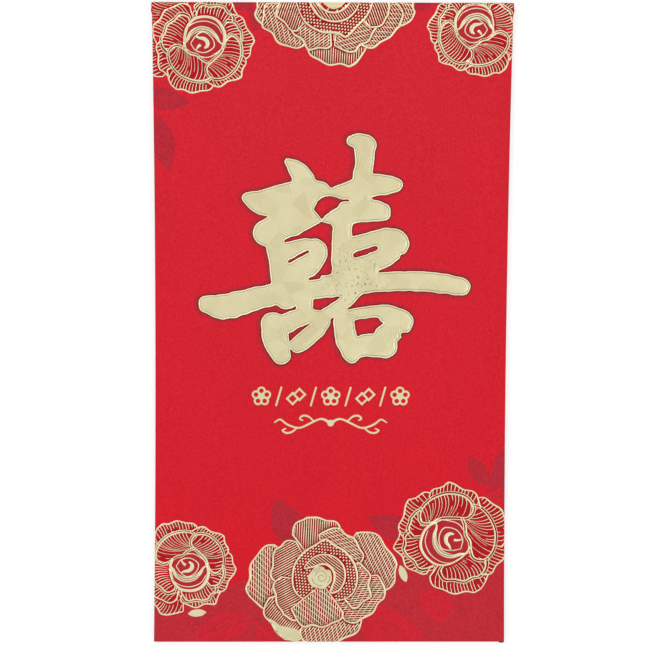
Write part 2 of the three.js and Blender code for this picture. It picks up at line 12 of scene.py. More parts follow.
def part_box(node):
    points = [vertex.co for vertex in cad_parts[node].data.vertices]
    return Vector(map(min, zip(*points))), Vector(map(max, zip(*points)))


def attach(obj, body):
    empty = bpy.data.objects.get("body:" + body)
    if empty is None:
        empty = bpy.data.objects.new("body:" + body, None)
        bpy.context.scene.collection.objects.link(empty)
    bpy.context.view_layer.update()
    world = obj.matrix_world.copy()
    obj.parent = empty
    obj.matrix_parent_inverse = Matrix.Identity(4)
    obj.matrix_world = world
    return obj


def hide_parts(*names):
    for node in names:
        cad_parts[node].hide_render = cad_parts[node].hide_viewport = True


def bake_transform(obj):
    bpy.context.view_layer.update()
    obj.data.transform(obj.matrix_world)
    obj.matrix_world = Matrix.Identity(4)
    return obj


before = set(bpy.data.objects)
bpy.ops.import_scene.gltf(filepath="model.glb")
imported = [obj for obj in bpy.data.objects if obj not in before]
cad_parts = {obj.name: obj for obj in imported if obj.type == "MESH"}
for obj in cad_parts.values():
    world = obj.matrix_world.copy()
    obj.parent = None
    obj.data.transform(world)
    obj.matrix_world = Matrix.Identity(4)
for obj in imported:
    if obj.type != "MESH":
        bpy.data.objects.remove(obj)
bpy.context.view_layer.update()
mm = 0.001


def clearSelection():
    if bpy.context.object and bpy.context.object.mode != "OBJECT":
        bpy.ops.object.mode_set(mode="OBJECT")
    bpy.ops.object.select_all(action="DESELECT")


def makeActive(piece):
    clearSelection()
    piece.select_set(True)
    bpy.context.view_layer.objects.active = piece


def applyModifiers(piece):
    makeActive(piece)
    for modifier in list(piece.modifiers):
        bpy.ops.object.modifier_apply(modifier=modifier.name)


def smooth(piece, angle=35):
    makeActive(piece)
    bpy.ops.object.shade_smooth_by_angle(angle=math.radians(angle))


def linked(name, data):
    piece = bpy.data.objects.new(name, data)
    bpy.context.scene.collection.objects.link(piece)
    return piece


def edgeOf(node, end, axis):  # one side of a CAD node's box, in millimetres
    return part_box(node)[end][axis] / mm


# Where the sheet folds and ends, read from the frame

frontTop = edgeOf("front_panel", 1, 2)
headLine = edgeOf("front_panel", 1, 1)
footLine = edgeOf("front_panel", 0, 1)
sideEnd = edgeOf("front_panel", 1, 0)
leftLine = edgeOf("back_panel", 0, 0)
rightLine = edgeOf("seam_flap", 1, 0)
mouthLine = edgeOf("back_panel", 1, 1)
backFree = edgeOf("back_panel", 1, 0)
seamFree = edgeOf("seam_flap", 0, 0)
flapFree = edgeOf("closure_flap", 0, 1)
bottomFree = edgeOf("bottom_flap", 1, 1)
bottomHalf = edgeOf("bottom_flap", 1, 0)
cardThickness = edgeOf("closure_flap", 1, 2)
endRadius = frontTop / 2
leftRadius = (frontTop - edgeOf("back_panel", 0, 2)) / 2
rightRadius = (frontTop - edgeOf("seam_flap", 0, 2)) / 2
halfLength = headLine + endRadius

# The same places on the flat sheet
leftOut = leftLine - math.pi * leftRadius
rightOut = rightLine + math.pi * rightRadius
backEnd = leftOut - (backFree - leftLine)
seamEnd = rightOut + (rightLine - seamFree)
headOut = headLine + math.pi * endRadius
footOut = footLine - math.pi * endRadius
flapEnd = headOut + (headLine - flapFree)
bottomEnd = footOut - (bottomFree - footLine)

card = {
    "puff": 1.1,  # how far the front stands up in the middle
    "narrowing": 0.0138,  # the puffed pocket is narrower half way up, as a share of its width
    "mesh": 1.5,  # spacing of the sheet's mesh
    "foldSteps": 20,
    "slit": 0.15,  # between the side folds and the front's top corners
    "flare": 0.28,  # how far the top corners stand out sideways
    "cornerReach": 78,  # degrees that a side fold follows the foot's fold
    "creaseHalf": 44.85,
    "join": 0.6,  # the flap's own sheet starts this far before the top crease
    "flapTaper": 7, "flapCorner": 5,
    "bottomTaper": 6, "bottomCorner": 3,
    "seamTaper": 5,
    "cornerSlack": 0.2,
}
# Faint buckles in the front: middle, direction in degrees, half length, half width and height
buckles = [
    (27, -25, -14, 20, 3.4, 0.16), (24, -32, -8, 22, 3.0, -0.12), (30, -38, -16, 14, 2.6, 0.09),
    (8, -37, 4, 18, 3.2, 0.08), (-24, -36, 12, 16, 3.6, 0.07), (-30, 30, 74, 24, 6, 0.08),
    (34, 40, 98, 26, 7, -0.07), (12, 62, 6, 22, 5, 0.06), (-10, -30, -6, 12, 2.4, -0.06),
]


def swell(x, y):  # height of the front over its flat place
    across = max(1 - (x / rightLine) ** 2, 0)
    along = max(1 - (y / headLine) ** 4, 0) ** 2
    height = card["puff"] * across * along
    for bx, by, turn, half, width, bump in buckles:
        c, s = math.cos(math.radians(turn)), math.sin(math.radians(turn))
        far = ((x - bx) * c + (y - by) * s) / half
        near = ((y - by) * c - (x - bx) * s) / width
        height += bump * math.exp(-far * far - near * near) * min(across * 4, 1) * min(along * 4, 1)
    return height


def foldPoint(u, v, lift):  # from the flat sheet to the envelope; lift is the height over the outer face
    x, y, z, sideTurn = u, v, frontTop + lift, 0
    side = 1 if u > rightLine else -1 if u < leftLine else 0
    end = 1 if v > headLine else -1 if v < footLine else 0
    if side and v < mouthLine + card["slit"] / 2:
        line, radius = (rightLine, rightRadius) if side > 0 else (leftLine, leftRadius)
        sideTurn = min(abs(u - line) / radius, math.pi)
        x = line + side * ((radius + lift) * math.sin(sideTurn) - max(abs(u - line) - math.pi * radius, 0))
        z = frontTop - radius + (radius + lift) * math.cos(sideTurn)
    if end:
        line = headLine if end > 0 else footLine
        turn = min(abs(v - line) / endRadius, math.pi)
        reach = endRadius + lift * (max(math.cos(sideTurn), 0) if end < 0 else 1)
        y = line + end * (reach * math.sin(turn) - max(abs(v - line) - math.pi * endRadius, 0))
        z = endRadius + (z - endRadius) * math.cos(turn)
    elif not side:
        z += swell(x, y)
    x *= 1 - card["narrowing"] * max(1 - (y / halfLength) ** 2, 0)
    if v > mouthLine:
        fade = max(1 - max(v - headLine, 0) / 6, 0)
        x *= 1 + card["flare"] / sideEnd * min((v - mouthLine) / 1.2, 1) * fade
    return Vector((x * mm, y * mm, z * mm))


def foldPiece(piece):
    for vertex in piece.data.vertices:
        vertex.co = foldPoint(*vertex.co)
    piece.data.update()
    return piece


# Flat geometry for the printed and stamped shapes: loops keep what they enclose on their left


def crossings(loops, points):  # whether each point lies inside the loops, counting holes
    inside = np.zeros(len(points), bool)
    for loop in loops:
        a, b = loop, np.roll(loop, -1, axis=0)
        for (ax, ay), (bx, by) in zip(a, b):
            spans = (ay > points[:, 1]) != (by > points[:, 1])
            if spans.any():
                at = ax + (bx - ax) * (points[:, 1] - ay) / (by - ay if by != ay else 1)
                inside ^= spans & (points[:, 0] < at)
    return inside


def distanceTo(loops, points):
    a = np.concatenate(loops)
    b = np.concatenate([np.roll(loop, -1, axis=0) for loop in loops])
    run = b - a
    square = np.maximum((run ** 2).sum(1), 1e-12)
    best = []
    for chunk in np.array_split(points, max(len(points) // 400, 1)):
        away = chunk[:, None] - a[None]
        share = np.clip((away * run).sum(2) / square, 0, 1)
        best.append(np.sqrt(((away - run * share[..., None]) ** 2).sum(2).min(1)))
    return np.concatenate(best)


def resampled(loop, step):
    closed = np.vstack([loop, loop[:1]])
    gone = np.concatenate([[0], np.cumsum(np.linalg.norm(np.diff(closed, axis=0), axis=1))])
    at = np.linspace(0, gone[-1], max(int(gone[-1] / step), 8), endpoint=False)
    return np.stack([np.interp(at, gone, closed[:, 0]), np.interp(at, gone, closed[:, 1])], 1)


def softened(loop, passes):
    for _ in range(passes):
        loop = (np.roll(loop, 1, axis=0) + 2 * loop + np.roll(loop, -1, axis=0)) / 4
    return loop


def outward(loop):  # the direction out of a loop at each of its points
    run = np.roll(loop, -1, axis=0) - np.roll(loop, 1, axis=0)
    run /= np.maximum(np.linalg.norm(run, axis=1, keepdims=True), 1e-9)
    return np.stack([run[:, 1], -run[:, 0]], 1)


def grown(loops, distance):  # the loops moved outwards; what would cross another stretch is left out
    made = []
    for loop in loops:
        moved = loop + distance * outward(loop)
        kept = moved[distanceTo(loops, moved) > abs(distance) * 0.96]
        if len(kept) > 8:
            made.append(kept)
    return made


def brushed(loop, swing, chance):  # a closed line with the unsteadiness of a brush
    length = np.linalg.norm(loop - np.roll(loop, 1, axis=0), axis=1).sum()
    t = np.linspace(0, 2 * np.pi, len(loop), endpoint=False)
    wander = np.zeros(len(loop))
    for wave in (6.1, 4.3, 3.1):
        turns, start = max(round(length / wave), 1), 6.3 * chance.random()
        slow = 0.6 + 0.4 * np.sin(5 * t + start)
        wander += np.sin(turns * t + start + 1.2 * np.sin(3 * t + 2 * start)) * slow
    return loop + (wander * swing)[:, None] * outward(loop)


def inFolds(v):  # where a printed shape needs a finer mesh
    return headLine - 0.4 < v < headOut + 0.4 or footOut - 0.4 < v < footLine + 0.4


def outlined(loops):  # the points of the loops and the edges round them
    points, edges = [], []
    for loop in loops:
        first = len(points)
        points += [tuple(p) for p in loop]
        edges += [(first + i, first + (i + 1) % len(loop)) for i in range(len(loop))]
    return points, edges


def triangulated(points, edges):
    made = delaunay_2d_cdt([Vector(p) for p in points], edges, [], 0, 1e-5)
    flat = np.array([(p.x, p.y) for p in made[0]])
    triangles = np.array(made[2])
    return flat, triangles, flat[triangles].mean(1)


def thinPlate(name, flat, triangles, heights, thickness):  # folded, with its heights over the card as its top
    used = sorted(set(triangles.ravel().tolist()))
    index = {old: new for new, old in enumerate(used)}
    vertices = [(flat[i][0], flat[i][1], heights[i]) for i in used]
    data = bpy.data.meshes.new(name)
    data.from_pydata(vertices, [], [[index[i] for i in t] for t in triangles.tolist()])
    data.update()
    piece = foldPiece(linked(name, data))
    wall = piece.modifiers.new("wall", "SOLIDIFY")
    wall.thickness = thickness * mm
    wall.offset = -1
    applyModifiers(piece)
    return piece


foldMesh = {"row": 0.2, "between": 0.8, "column": 0.25, "reach": 3}


def gridOver(loops, spacing):  # with finer rows and columns in the folds
    low, high = np.concatenate(loops).min(0), np.concatenate(loops).max(0)
    rows = [v for v in np.arange(low[1], high[1], spacing) if not inFolds(v)]
    fine = [v for v in np.arange(low[1], high[1], foldMesh["row"]) if inFolds(v)]
    spots = [(u, v) for v in rows for u in np.arange(low[0], high[0], spacing)]
    spots += [(u, v) for v in fine for u in np.arange(low[0], high[0], foldMesh["between"])]
    reach, step = foldMesh["reach"], foldMesh["column"]
    for column in (leftLine, rightLine):
        if low[0] < column < high[0]:
            spots += [(column + du, v) for du in np.arange(-reach, reach + 0.1, step) for v in rows + fine]
    return low, high, np.array(spots)


def filled(name, loops, spacing, height, thickness, rings):
    # one plate of the loops, with extra rings of points along them and a grid inside
    points, edges = outlined(loops)
    spots = gridOver(loops, spacing)[2]
    spots = spots[crossings(loops, spots)]
    if len(spots):
        away = distanceTo(loops, spots)
        points += [tuple(p) for p in spots[(away > min(spacing * 0.45, 0.3)) & (away > rings[-1] * 1.25)]]
    for ring in rings:
        for loop in grown(loops, -ring):
            points += [tuple(p) for p in loop]
    flat, triangles, middles = triangulated(points, edges)
    return thinPlate(name, flat, triangles[crossings(loops, middles)], height(flat), thickness)


lineProfile = [(-1, 0), (-0.84, 1), (0.84, 1), (1, 0)]


def drawn(name, lines, base, top):  # foil or ink lines: each a list of x, y and width, with a flat crown
    clearSelection()
    profileCurve = bpy.data.curves.new("profile", "CURVE")
    spline = profileCurve.splines.new("POLY")
    spline.points.add(len(lineProfile) - 1)
    for point, (x, y) in zip(spline.points, lineProfile):
        point.co = (x, y, 0, 1)
    spline.use_cyclic_u = True
    profile = linked("profile", profileCurve)
    strokes = bpy.data.curves.new(name, "CURVE")
    strokes.dimensions = "3D"
    strokes.twist_mode = "Z_UP"
    strokes.bevel_mode = "OBJECT"
    strokes.bevel_object = profile
    strokes.use_fill_caps = True
    for line in lines:
        closed = len(line) > 3 and np.allclose(line[0][:2], line[-1][:2])
        points = line[:-1] if closed else line
        spline = strokes.splines.new("POLY")
        spline.points.add(len(points) - 1)
        for point, (x, y, width) in zip(spline.points, points):
            point.co = (x, y, 0, 1)
            point.radius = width / 2
        spline.use_cyclic_u = closed
    makeActive(linked(name, strokes))
    bpy.ops.object.convert(target="MESH")
    piece = bpy.context.view_layer.objects.active
    bpy.data.objects.remove(profile)
    piece.name = name
    for vertex in piece.data.vertices:
        vertex.co.z = top if vertex.co.z > 1e-5 else base
    bpy.ops.object.mode_set(mode="EDIT")
    bpy.ops.mesh.select_all(action="SELECT")
    bpy.ops.mesh.remove_doubles(threshold=1e-5)
    bpy.ops.mesh.normals_make_consistent(inside=False)
    bpy.ops.object.mode_set(mode="OBJECT")
    return foldPiece(piece)


def curveAt(a, b, c, d, t):  # a soft curve from b to c
    return 0.5 * (2 * b + (c - a) * t + (2 * a - 5 * b + 4 * c - d) * t ** 2
                  + (3 * b - a - 3 * c + d) * t ** 3)


def smoothPath(points, steps=8):  # through a few points of x, y and width
    points = np.array(points, float)
    ends = np.vstack([2 * points[0] - points[1], points, 2 * points[-1] - points[-2]])
    made = [curveAt(*ends[i:i + 4], t) for i in range(len(points) - 1) for t in np.arange(steps) / steps]
    return np.array(made + [points[-1]])


def closedCurve(points, steps=9):
    points = np.array(points, float)
    fours = [np.roll(points, 1 - i, axis=0)[:4] for i in range(len(points))]
    return np.array([curveAt(*four, t) for four in fours for t in np.arange(steps) / steps])


def runs(points, keep, shortest):  # the stretches of a line that are kept
    made, start = [], None
    for i, held in enumerate(list(keep) + [False]):
        if held and start is None:
            start = i
        if not held and start is not None:
            whole = i - start == len(points)
            if i - start > 2 and (whole or np.linalg.norm(points[i - 1, :2] - points[start, :2]) > shortest):
                made.append(points[start:i])
            start = None
    return made


def thinned(line, slack=0.012, longest=3):  # drops points on straight runs, but not in the folds
    kept = [line[0]]
    for i in range(1, len(line) - 1):
        run = line[i + 1, :2] - kept[-1][:2]
        away = line[i, :2] - kept[-1][:2]
        length = max(np.hypot(*run), 1e-9)
        off = abs(run[0] * away[1] - run[1] * away[0]) / length
        near = inFolds(line[i, 1]) or not leftLine < line[i, 0] < rightLine
        if off > slack or length > longest or (near and length > 0.25):
            kept.append(line[i])
    kept.append(line[-1])
    return np.array(kept)


print("helpers ready")

# What of the flat sheet is printed: the front, and a little past each fold
bleed = 3
edgeGap = 0.12
cornerOut = footLine - math.radians(card["cornerReach"] - 4) * endRadius
printedArea = np.array([
    (leftOut - bleed, footLine + 0.6), (leftOut, footLine + 0.3), (leftOut, cornerOut), (leftLine, cornerOut),
    (leftLine + 0.2, footOut - bleed), (rightLine - 0.2, footOut - bleed), (rightLine, cornerOut),
    (rightLine + 1.5, cornerOut), (rightLine + 1.5, mouthLine - edgeGap), (rightLine, mouthLine - edgeGap),
    (rightLine, mouthLine + 0.3), (sideEnd - edgeGap, mouthLine + 0.3), (sideEnd - edgeGap, headLine - 0.7),
    (card["creaseHalf"] - edgeGap, headLine - 0.5), (card["creaseHalf"] - edgeGap, headOut),
    (card["creaseHalf"] - 1, headOut + bleed), (1 - card["creaseHalf"], headOut + bleed),
    (edgeGap - card["creaseHalf"], headOut), (edgeGap - card["creaseHalf"], headLine - 0.5),
    (edgeGap - sideEnd, headLine - 0.7), (edgeGap - sideEnd, mouthLine + 0.3), (leftLine, mouthLine + 0.3),
    (leftLine, mouthLine - edgeGap), (leftOut - bleed, mouthLine - edgeGap),
])
creaseLine = headLine - card["join"]  # past here, the print is made as pieces of its own


# Materials

def newMaterial(name, color, roughness, metallic=0.0, specular=0.4):
    material = bpy.data.materials.new(name)
    material.use_nodes = True
    shader = material.node_tree.nodes["Principled BSDF"]
    shader.inputs["Base Color"].default_value = (*color, 1)
    shader.inputs["Roughness"].default_value = roughness
    shader.inputs["Metallic"].default_value = metallic
    shader.inputs["Specular IOR Level"].default_value = specular
    return material, material.node_tree, shader


def addNode(tree, kind, **values):  # a value that is a socket is linked
    node = tree.nodes.new(kind)
    for key, value in values.items():
        if isinstance(value, bpy.types.NodeSocket):
            tree.links.new(value, node.inputs[key])
        elif key in node.inputs:
            node.inputs[key].default_value = value
        else:
            setattr(node, key, value)
    return node


def objectPlace(tree):
    return addNode(tree, "ShaderNodeTexCoord").outputs["Object"]


def noiseOn(tree, stretch, scale, detail, rough):  # a noise on Object coordinates
    mapping = addNode(tree, "ShaderNodeMapping", Scale=stretch, Vector=objectPlace(tree))
    return addNode(tree, "ShaderNodeTexNoise", Scale=scale, Detail=detail, Roughness=rough,
                   Vector=mapping.outputs["Vector"]).outputs["Fac"]


def rangeOf(tree, source, low, high):  # from 0 to 1 as a value goes from low to high
    limits = {"Value": source, "From Min": low, "From Max": high}
    return addNode(tree, "ShaderNodeMapRange", **limits).outputs[0]


def shareAlong(tree, axis, low, high):
    split = addNode(tree, "ShaderNodeSeparateXYZ", Vector=objectPlace(tree))
    return rangeOf(tree, split.outputs[axis], low, high)


def tinted(tree, source, low, high, dark, light):  # a colour between two, by a value's place in low to high
    ramp = addNode(tree, "ShaderNodeValToRGB", Fac=source)
    for stop, position, color in zip(ramp.color_ramp.elements, (low, high), (dark, light)):
        stop.position = position
        stop.color = (*color, 1)
    return ramp.outputs["Color"]


def multiplied(tree, a, b, share=1.0):  # the share is a number or a socket
    mix = addNode(tree, "ShaderNodeMix", data_type="RGBA", blend_type="MULTIPLY")
    if isinstance(share, float):
        mix.inputs["Factor"].default_value = share
    else:
        tree.links.new(share, mix.inputs["Factor"])
    tree.links.new(a, mix.inputs[6])
    tree.links.new(b, mix.inputs[7])
    return mix.outputs[2]


def summed(tree, a, b):
    total = addNode(tree, "ShaderNodeMath", operation="ADD")
    tree.links.new(a, total.inputs[0])
    tree.links.new(b, total.inputs[1])
    return total.outputs[0]


def bumped(tree, shader, height, strength, depth):
    bump = addNode(tree, "ShaderNodeBump", Strength=strength, Distance=depth * mm, Height=height)
    tree.links.new(bump.outputs["Normal"], shader.inputs["Normal"])


foldTone = 0.62  # what the painted shade in the folds leaves of the colour


def foldShade(tree):  # painted shade: the folds are darker half way down
    ramp = addNode(tree, "ShaderNodeValToRGB", Fac=shareAlong(tree, "Z", 0, frontTop * mm))
    for position, value in ((0.18, 1), (0.3, foldTone), (0.74, foldTone), (0.9, 1)):
        stop = ramp.color_ramp.elements.new(position)
        stop.color = (value, value, value, 1)
    ramp.color_ramp.elements[0].color = (1, 1, 1, 1)
    return ramp.outputs["Color"]


# Fine felt of specks, faint upright streaks and clouds. For each noise: its stretch along the sheet, scale,
# detail and roughness, and the two tints it goes between
felt = [
    (0.8, 2100, 2, 0.7, (0.93, 0.62, 0.68), (1.07, 1.48, 1.36)),
    (0.09, 900, 3, 0.6, (0.982,) * 3, (1.016,) * 3),
    (0.6, 60, 4, 0.5, (0.975,) * 3, (1.02,) * 3),
]


def feltTexture(tree, shader, color, depth=0.02, tone=1.0):
    noises = []
    for stretch, scale, detail, rough, dark, light in felt:
        noises.append(noiseOn(tree, (1, stretch, 1), scale, detail, rough))
        color = multiplied(tree, color, tinted(tree, noises[-1], 0.3, 0.7, dark, light), tone)
    # the painted shade of the folds goes over the felt
    tree.links.new(multiplied(tree, color, foldShade(tree)), shader.inputs["Base Color"])
    bumped(tree, shader, summed(tree, noises[0], noises[1]), 0.5, depth)


def cardMaterial(name, headColor, footColor, roughness=0.72):  # the red turns a little purer towards the foot
    material, tree, shader = newMaterial(name, headColor, roughness, specular=0.1)
    feltTexture(tree, shader, tinted(tree, shareAlong(tree, "Y", -0.06, 0.07), 0, 1, footColor, headColor))
    return material


def inkMaterial(name, color, roughness=0.6, tone=1.0):
    material, tree, shader = newMaterial(name, color, roughness, specular=0.1)
    uneven = noiseOn(tree, (1, 1, 1), 240, 3, 0.5)
    light, dark = [part * 1.03 for part in color], [part * 0.97 for part in color]
    feltTexture(tree, shader, tinted(tree, uneven, 0.3, 0.7, dark, light), 0.015, tone)
    return material


engraving = {"patches": 250.0, "turn": 3.1, "lines": 720.0, "pits": 1250, "middle": (5, 13), "reach": 11}


def engravedTexture(tree, shade):  # fine cut lines that turn from patch to patch, and a worn, pitted middle
    place = objectPlace(tree)
    patches = addNode(tree, "ShaderNodeTexVoronoi", Scale=engraving["patches"], Vector=place)
    split = addNode(tree, "ShaderNodeSeparateColor", Color=patches.outputs["Color"])
    angle = addNode(tree, "ShaderNodeMath", operation="MULTIPLY", Value=split.outputs[0])
    angle.inputs[1].default_value = engraving["turn"]
    turn = addNode(tree, "ShaderNodeVectorRotate", rotation_type="Z_AXIS", Vector=place,
                   Angle=angle.outputs[0])
    waves = addNode(tree, "ShaderNodeTexWave", Scale=engraving["lines"], Distortion=1.2, Detail=2.0,
                    Vector=turn.outputs[0])
    waves.inputs["Detail Scale"].default_value = 1.5
    cut = tinted(tree, waves.outputs["Fac"], 0.1, 0.5, (0.79, 0.77, 0.68), (1, 1, 1))
    strength = tinted(tree, split.outputs[1], 0.3, 0.9, (0, 0, 0), (1, 1, 1))
    pits = noiseOn(tree, (1, 0.8, 1), engraving["pits"], 2, 0.7)
    dark = tinted(tree, pits, 0.30, 0.42, (0.28, 0.26, 0.2), (1, 1, 1))
    away = addNode(tree, "ShaderNodeVectorMath", operation="DISTANCE", Vector=place)
    away.inputs[1].default_value = [part * mm for part in (*engraving["middle"], frontTop + 1)]
    reach = engraving["reach"] * mm
    worn = rangeOf(tree, away.outputs["Value"], reach, reach * 0.35)
    return multiplied(tree, multiplied(tree, shade, cut, strength), dark, worn), waves.outputs["Fac"]


foil = {"roughness": 0.36, "grain": 1500, "clouds": 160, "depth": 0.006, "engravedDepth": 0.02}


def foilMaterial(name, engraved=False, dull=(0.785, 0.70, 0.42), bright=(0.845, 0.77, 0.49)):
    material, tree, shader = newMaterial(name, bright, foil["roughness"], 1.0, 0.5)
    height = noiseOn(tree, (1, 1, 1), foil["grain"], 3, 0.6)
    shade = tinted(tree, noiseOn(tree, (1, 1, 1), foil["clouds"], 3, 0.5), 0.3, 0.7, dull, bright)
    depth = foil["depth"]
    if engraved:
        shade, lines = engravedTexture(tree, shade)
        height = summed(tree, lines, height)
        depth = foil["engravedDepth"]
    tree.links.new(shade, shader.inputs["Base Color"])
    bumped(tree, shader, height, 0.7, depth)
    return material


def glueMaterial():
    material, tree, shader = newMaterial("dried glue", (0.78, 0.72, 0.6), 0.35, specular=0.5)
    shader.inputs["Coat Weight"].default_value = 0.3
    drops = noiseOn(tree, (1, 0.3, 1), 500, 3, 0.5)
    tree.links.new(tinted(tree, drops, 0.3, 0.75, (0.62, 0.55, 0.42), (0.86, 0.81, 0.7)),
                   shader.inputs["Base Color"])
    bumped(tree, shader, drops, 0.5, 0.03)
    return material


redCard = cardMaterial("red card", (0.645, 0.0158, 0.0300), (0.668, 0.0096, 0.0228))
cardInside = cardMaterial("red card, inside", (0.56, 0.022, 0.034), (0.56, 0.017, 0.028), 0.85)
cutEdge = cardMaterial("red card, cut edge", (0.50, 0.022, 0.032), (0.50, 0.022, 0.032), 0.9)
# dark red ink for the leaves and the roses' hearts; also the painted shadow round the glyph
darkInkAndShadow = inkMaterial("dark red ink, and painted shadow round the glyph", (0.468, 0.0185, 0.0340))
washInk = inkMaterial("dark red wash", (0.515, 0.0200, 0.0335))
paleInk = inkMaterial("red between the leaves", (0.605, 0.0150, 0.0290))
roseGround = inkMaterial("rose red ink", (0.45, 0.0045, 0.0110))
deepInk = inkMaterial("maroon ink", (0.30, 0.0045, 0.0065))
brickInk = inkMaterial("dark crimson ink", (0.34, 0.0035, 0.0065))
# deep red for painted shadow lines beside the gold, and for dark dashes on the roses' hearts
shadowAndDashInk = inkMaterial("deep red ink", (0.22, 0.0040, 0.0070))
# painted shadow: a dark line just outside the raised glyph
glyphEdgeShadowInk = inkMaterial("painted shadow at the glyph's edge", (0.19, 0.0060, 0.0110))
# painted shade: the dark red of the paper tip under the corner
cornerShade = inkMaterial("shaded corner of the card", (0.36, 0.0060, 0.0120))
plainFoil = foilMaterial("gold foil")
# a lighter copy of the gold foil: painted light, to make up for the shade on the narrow lines
litRimFoil = foilMaterial("gold foil, petal edges", False, (0.855, 0.775, 0.485), (0.91, 0.84, 0.56))
# the lightest copy of the gold foil, painted lighter: for the thin lines, and as a painted highlight along
# the glyph's rim
hatchAndHighlightFoil = foilMaterial("gold foil, thin lines", False, (0.95, 0.88, 0.57), (1, 0.95, 0.69))
engravedFoil = foilMaterial("gold foil, engraved", True)
# painted shade: dark lines that stand for the shade in grooves of the foil
grooveShadeInk = inkMaterial("groove in the foil", (0.27, 0.215, 0.11), 0.5)
glueFilm = glueMaterial()
print("materials made")


def dress(piece, material, slot, body="envelope", *nodes):
    piece.data.materials.clear()
    piece.data.materials.append(material)
    if body:
        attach(piece, body)
    if nodes:
        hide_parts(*nodes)
    return piece


def bendWithFlap(piece):  # bakes the piece's place into its mesh
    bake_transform(piece)
    return piece


# The card


def cutSheet(name, columns, rows, keep):  # a plane cut along columns and rows, without the cells outside keep
    clearSelection()
    low, high = (columns[0], rows[0]), (columns[-1], rows[-1])
    bpy.ops.mesh.primitive_plane_add(size=1, location=((low[0] + high[0]) / 2, (low[1] + high[1]) / 2, 0))
    piece = bpy.context.object
    piece.name = name
    piece.scale = (high[0] - low[0], high[1] - low[1], 1)
    bpy.ops.object.transform_apply(location=True, scale=True)
    bpy.ops.object.mode_set(mode="EDIT")
    for axis, places in enumerate((columns, rows)):
        for place in places[1:-1]:
            bpy.ops.mesh.select_all(action="SELECT")
            through = (place, 0, 0) if axis == 0 else (0, place, 0)
            bpy.ops.mesh.bisect(plane_co=through, plane_no=(1 - axis, axis, 0))
    selectFaces(piece, lambda x, y: not keep(x, y))
    bpy.ops.mesh.delete(type="FACE")
    bpy.ops.object.mode_set(mode="OBJECT")
    return piece


def selectFaces(piece, wanted):  # by the place of each face's middle, in edit mode
    bpy.ops.mesh.select_all(action="DESELECT")
    bpy.ops.object.mode_set(mode="OBJECT")
    for face in piece.data.polygons:
        face.select = bool(wanted(face.center.x, face.center.y))
    bpy.ops.object.mode_set(mode="EDIT")


def trim(piece, corners, wanted):  # cuts off what lies on the right of each stretch from corner to corner
    makeActive(piece)
    bpy.ops.object.mode_set(mode="EDIT")
    for (ax, ay), (bx, by) in zip(corners, corners[1:]):
        away = Vector((by - ay, ax - bx, 0)).normalized()
        selectFaces(piece, wanted)
        bpy.ops.mesh.bisect(plane_co=(ax, ay, 0), plane_no=away, clear_outer=True)
    bpy.ops.object.mode_set(mode="OBJECT")


def flapCorners(side, half, start, end, kind):  # a flap's side and rounded corner, the outside on the right
    taper, corner = card[kind + "Taper"], card[kind + "Corner"]
    way = 1 if end > start else -1
    sharp = half - taper
    a, b, c = (sharp, end - way * corner), (sharp - corner * card["cornerSlack"], end), (sharp - corner, end)
    points = [(half, start)]
    for t in np.linspace(0, 1, 7):
        points.append(tuple((1 - t) ** 2 * p + 2 * t * (1 - t) * q + t * t * r
                            for p, q, r in zip(a, b, c)))
    points = [(side * x, y) for x, y in points]
    return points if side * way > 0 else points[::-1]


def roundFlap(piece, *shape):
    start, end = shape[1:3]
    for side in (-1, 1):
        trim(piece, flapCorners(side, *shape), lambda x, y: (y > start) == (end > start))


def spread(low, high, step):
    return list(np.linspace(low, high, max(round((high - low) / step), 1) + 1))


def overFold(low, high, times=1):
    return list(np.linspace(low, high, card["foldSteps"] * times + 1))


def mergedLines(*groups):
    lines = sorted(set(round(float(value), 4) for group in groups for value in group))
    return [a for a, b in zip(lines, lines[1:] + [1e9]) if b - a > 0.01]


def addWall(piece, thickness=cardThickness):
    for material in (redCard, cardInside, cutEdge):
        piece.data.materials.append(material)
    wall = piece.modifiers.new("wall", "SOLIDIFY")
    wall.thickness = thickness * mm
    wall.offset = -1
    wall.use_even_offset = True
    wall.material_offset = 1
    wall.material_offset_rim = 2
    applyModifiers(piece)
    smooth(piece, 40)


def makePocket():
    cornerEnd = footLine - math.radians(card["cornerReach"]) * endRadius
    slitTop = mouthLine + card["slit"]
    columns = mergedLines(
        spread(backEnd, leftOut, 4), overFold(leftOut, leftLine), spread(leftLine, rightLine, card["mesh"]),
        [-sideEnd, sideEnd], overFold(rightLine, rightOut), spread(rightOut, seamEnd, 4))
    rows = mergedLines(
        spread(bottomEnd, footOut, 4), overFold(footOut, footLine), [cornerEnd],
        spread(footLine, mouthLine, card["mesh"]), [slitTop, creaseLine])

    def onBlank(u, v):
        if leftLine < u < rightLine:
            return v < creaseLine
        if v > slitTop:
            return -sideEnd < u < sideEnd
        if v > mouthLine:
            return False
        if v < footLine:
            return cornerEnd < v and leftOut < u < rightOut
        return True

    piece = cutSheet("pocket_card", columns, rows, onBlank)
    trim(piece, [(seamEnd, mouthLine - card["seamTaper"]), (rightOut, mouthLine)], lambda x, y: x > rightOut)
    trim(piece, [(rightOut, footLine + 0.3), (seamEnd, footLine + card["seamTaper"])],
         lambda x, y: x > rightOut)
    roundFlap(piece, bottomHalf, footOut, bottomEnd, "bottom")
    foldPiece(piece)
    addWall(piece)
    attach(piece, "envelope")
    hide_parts("front_panel", "left_fold", "right_fold", "back_panel", "seam_flap", "bottom_fold",
                "bottom_flap")
    return piece


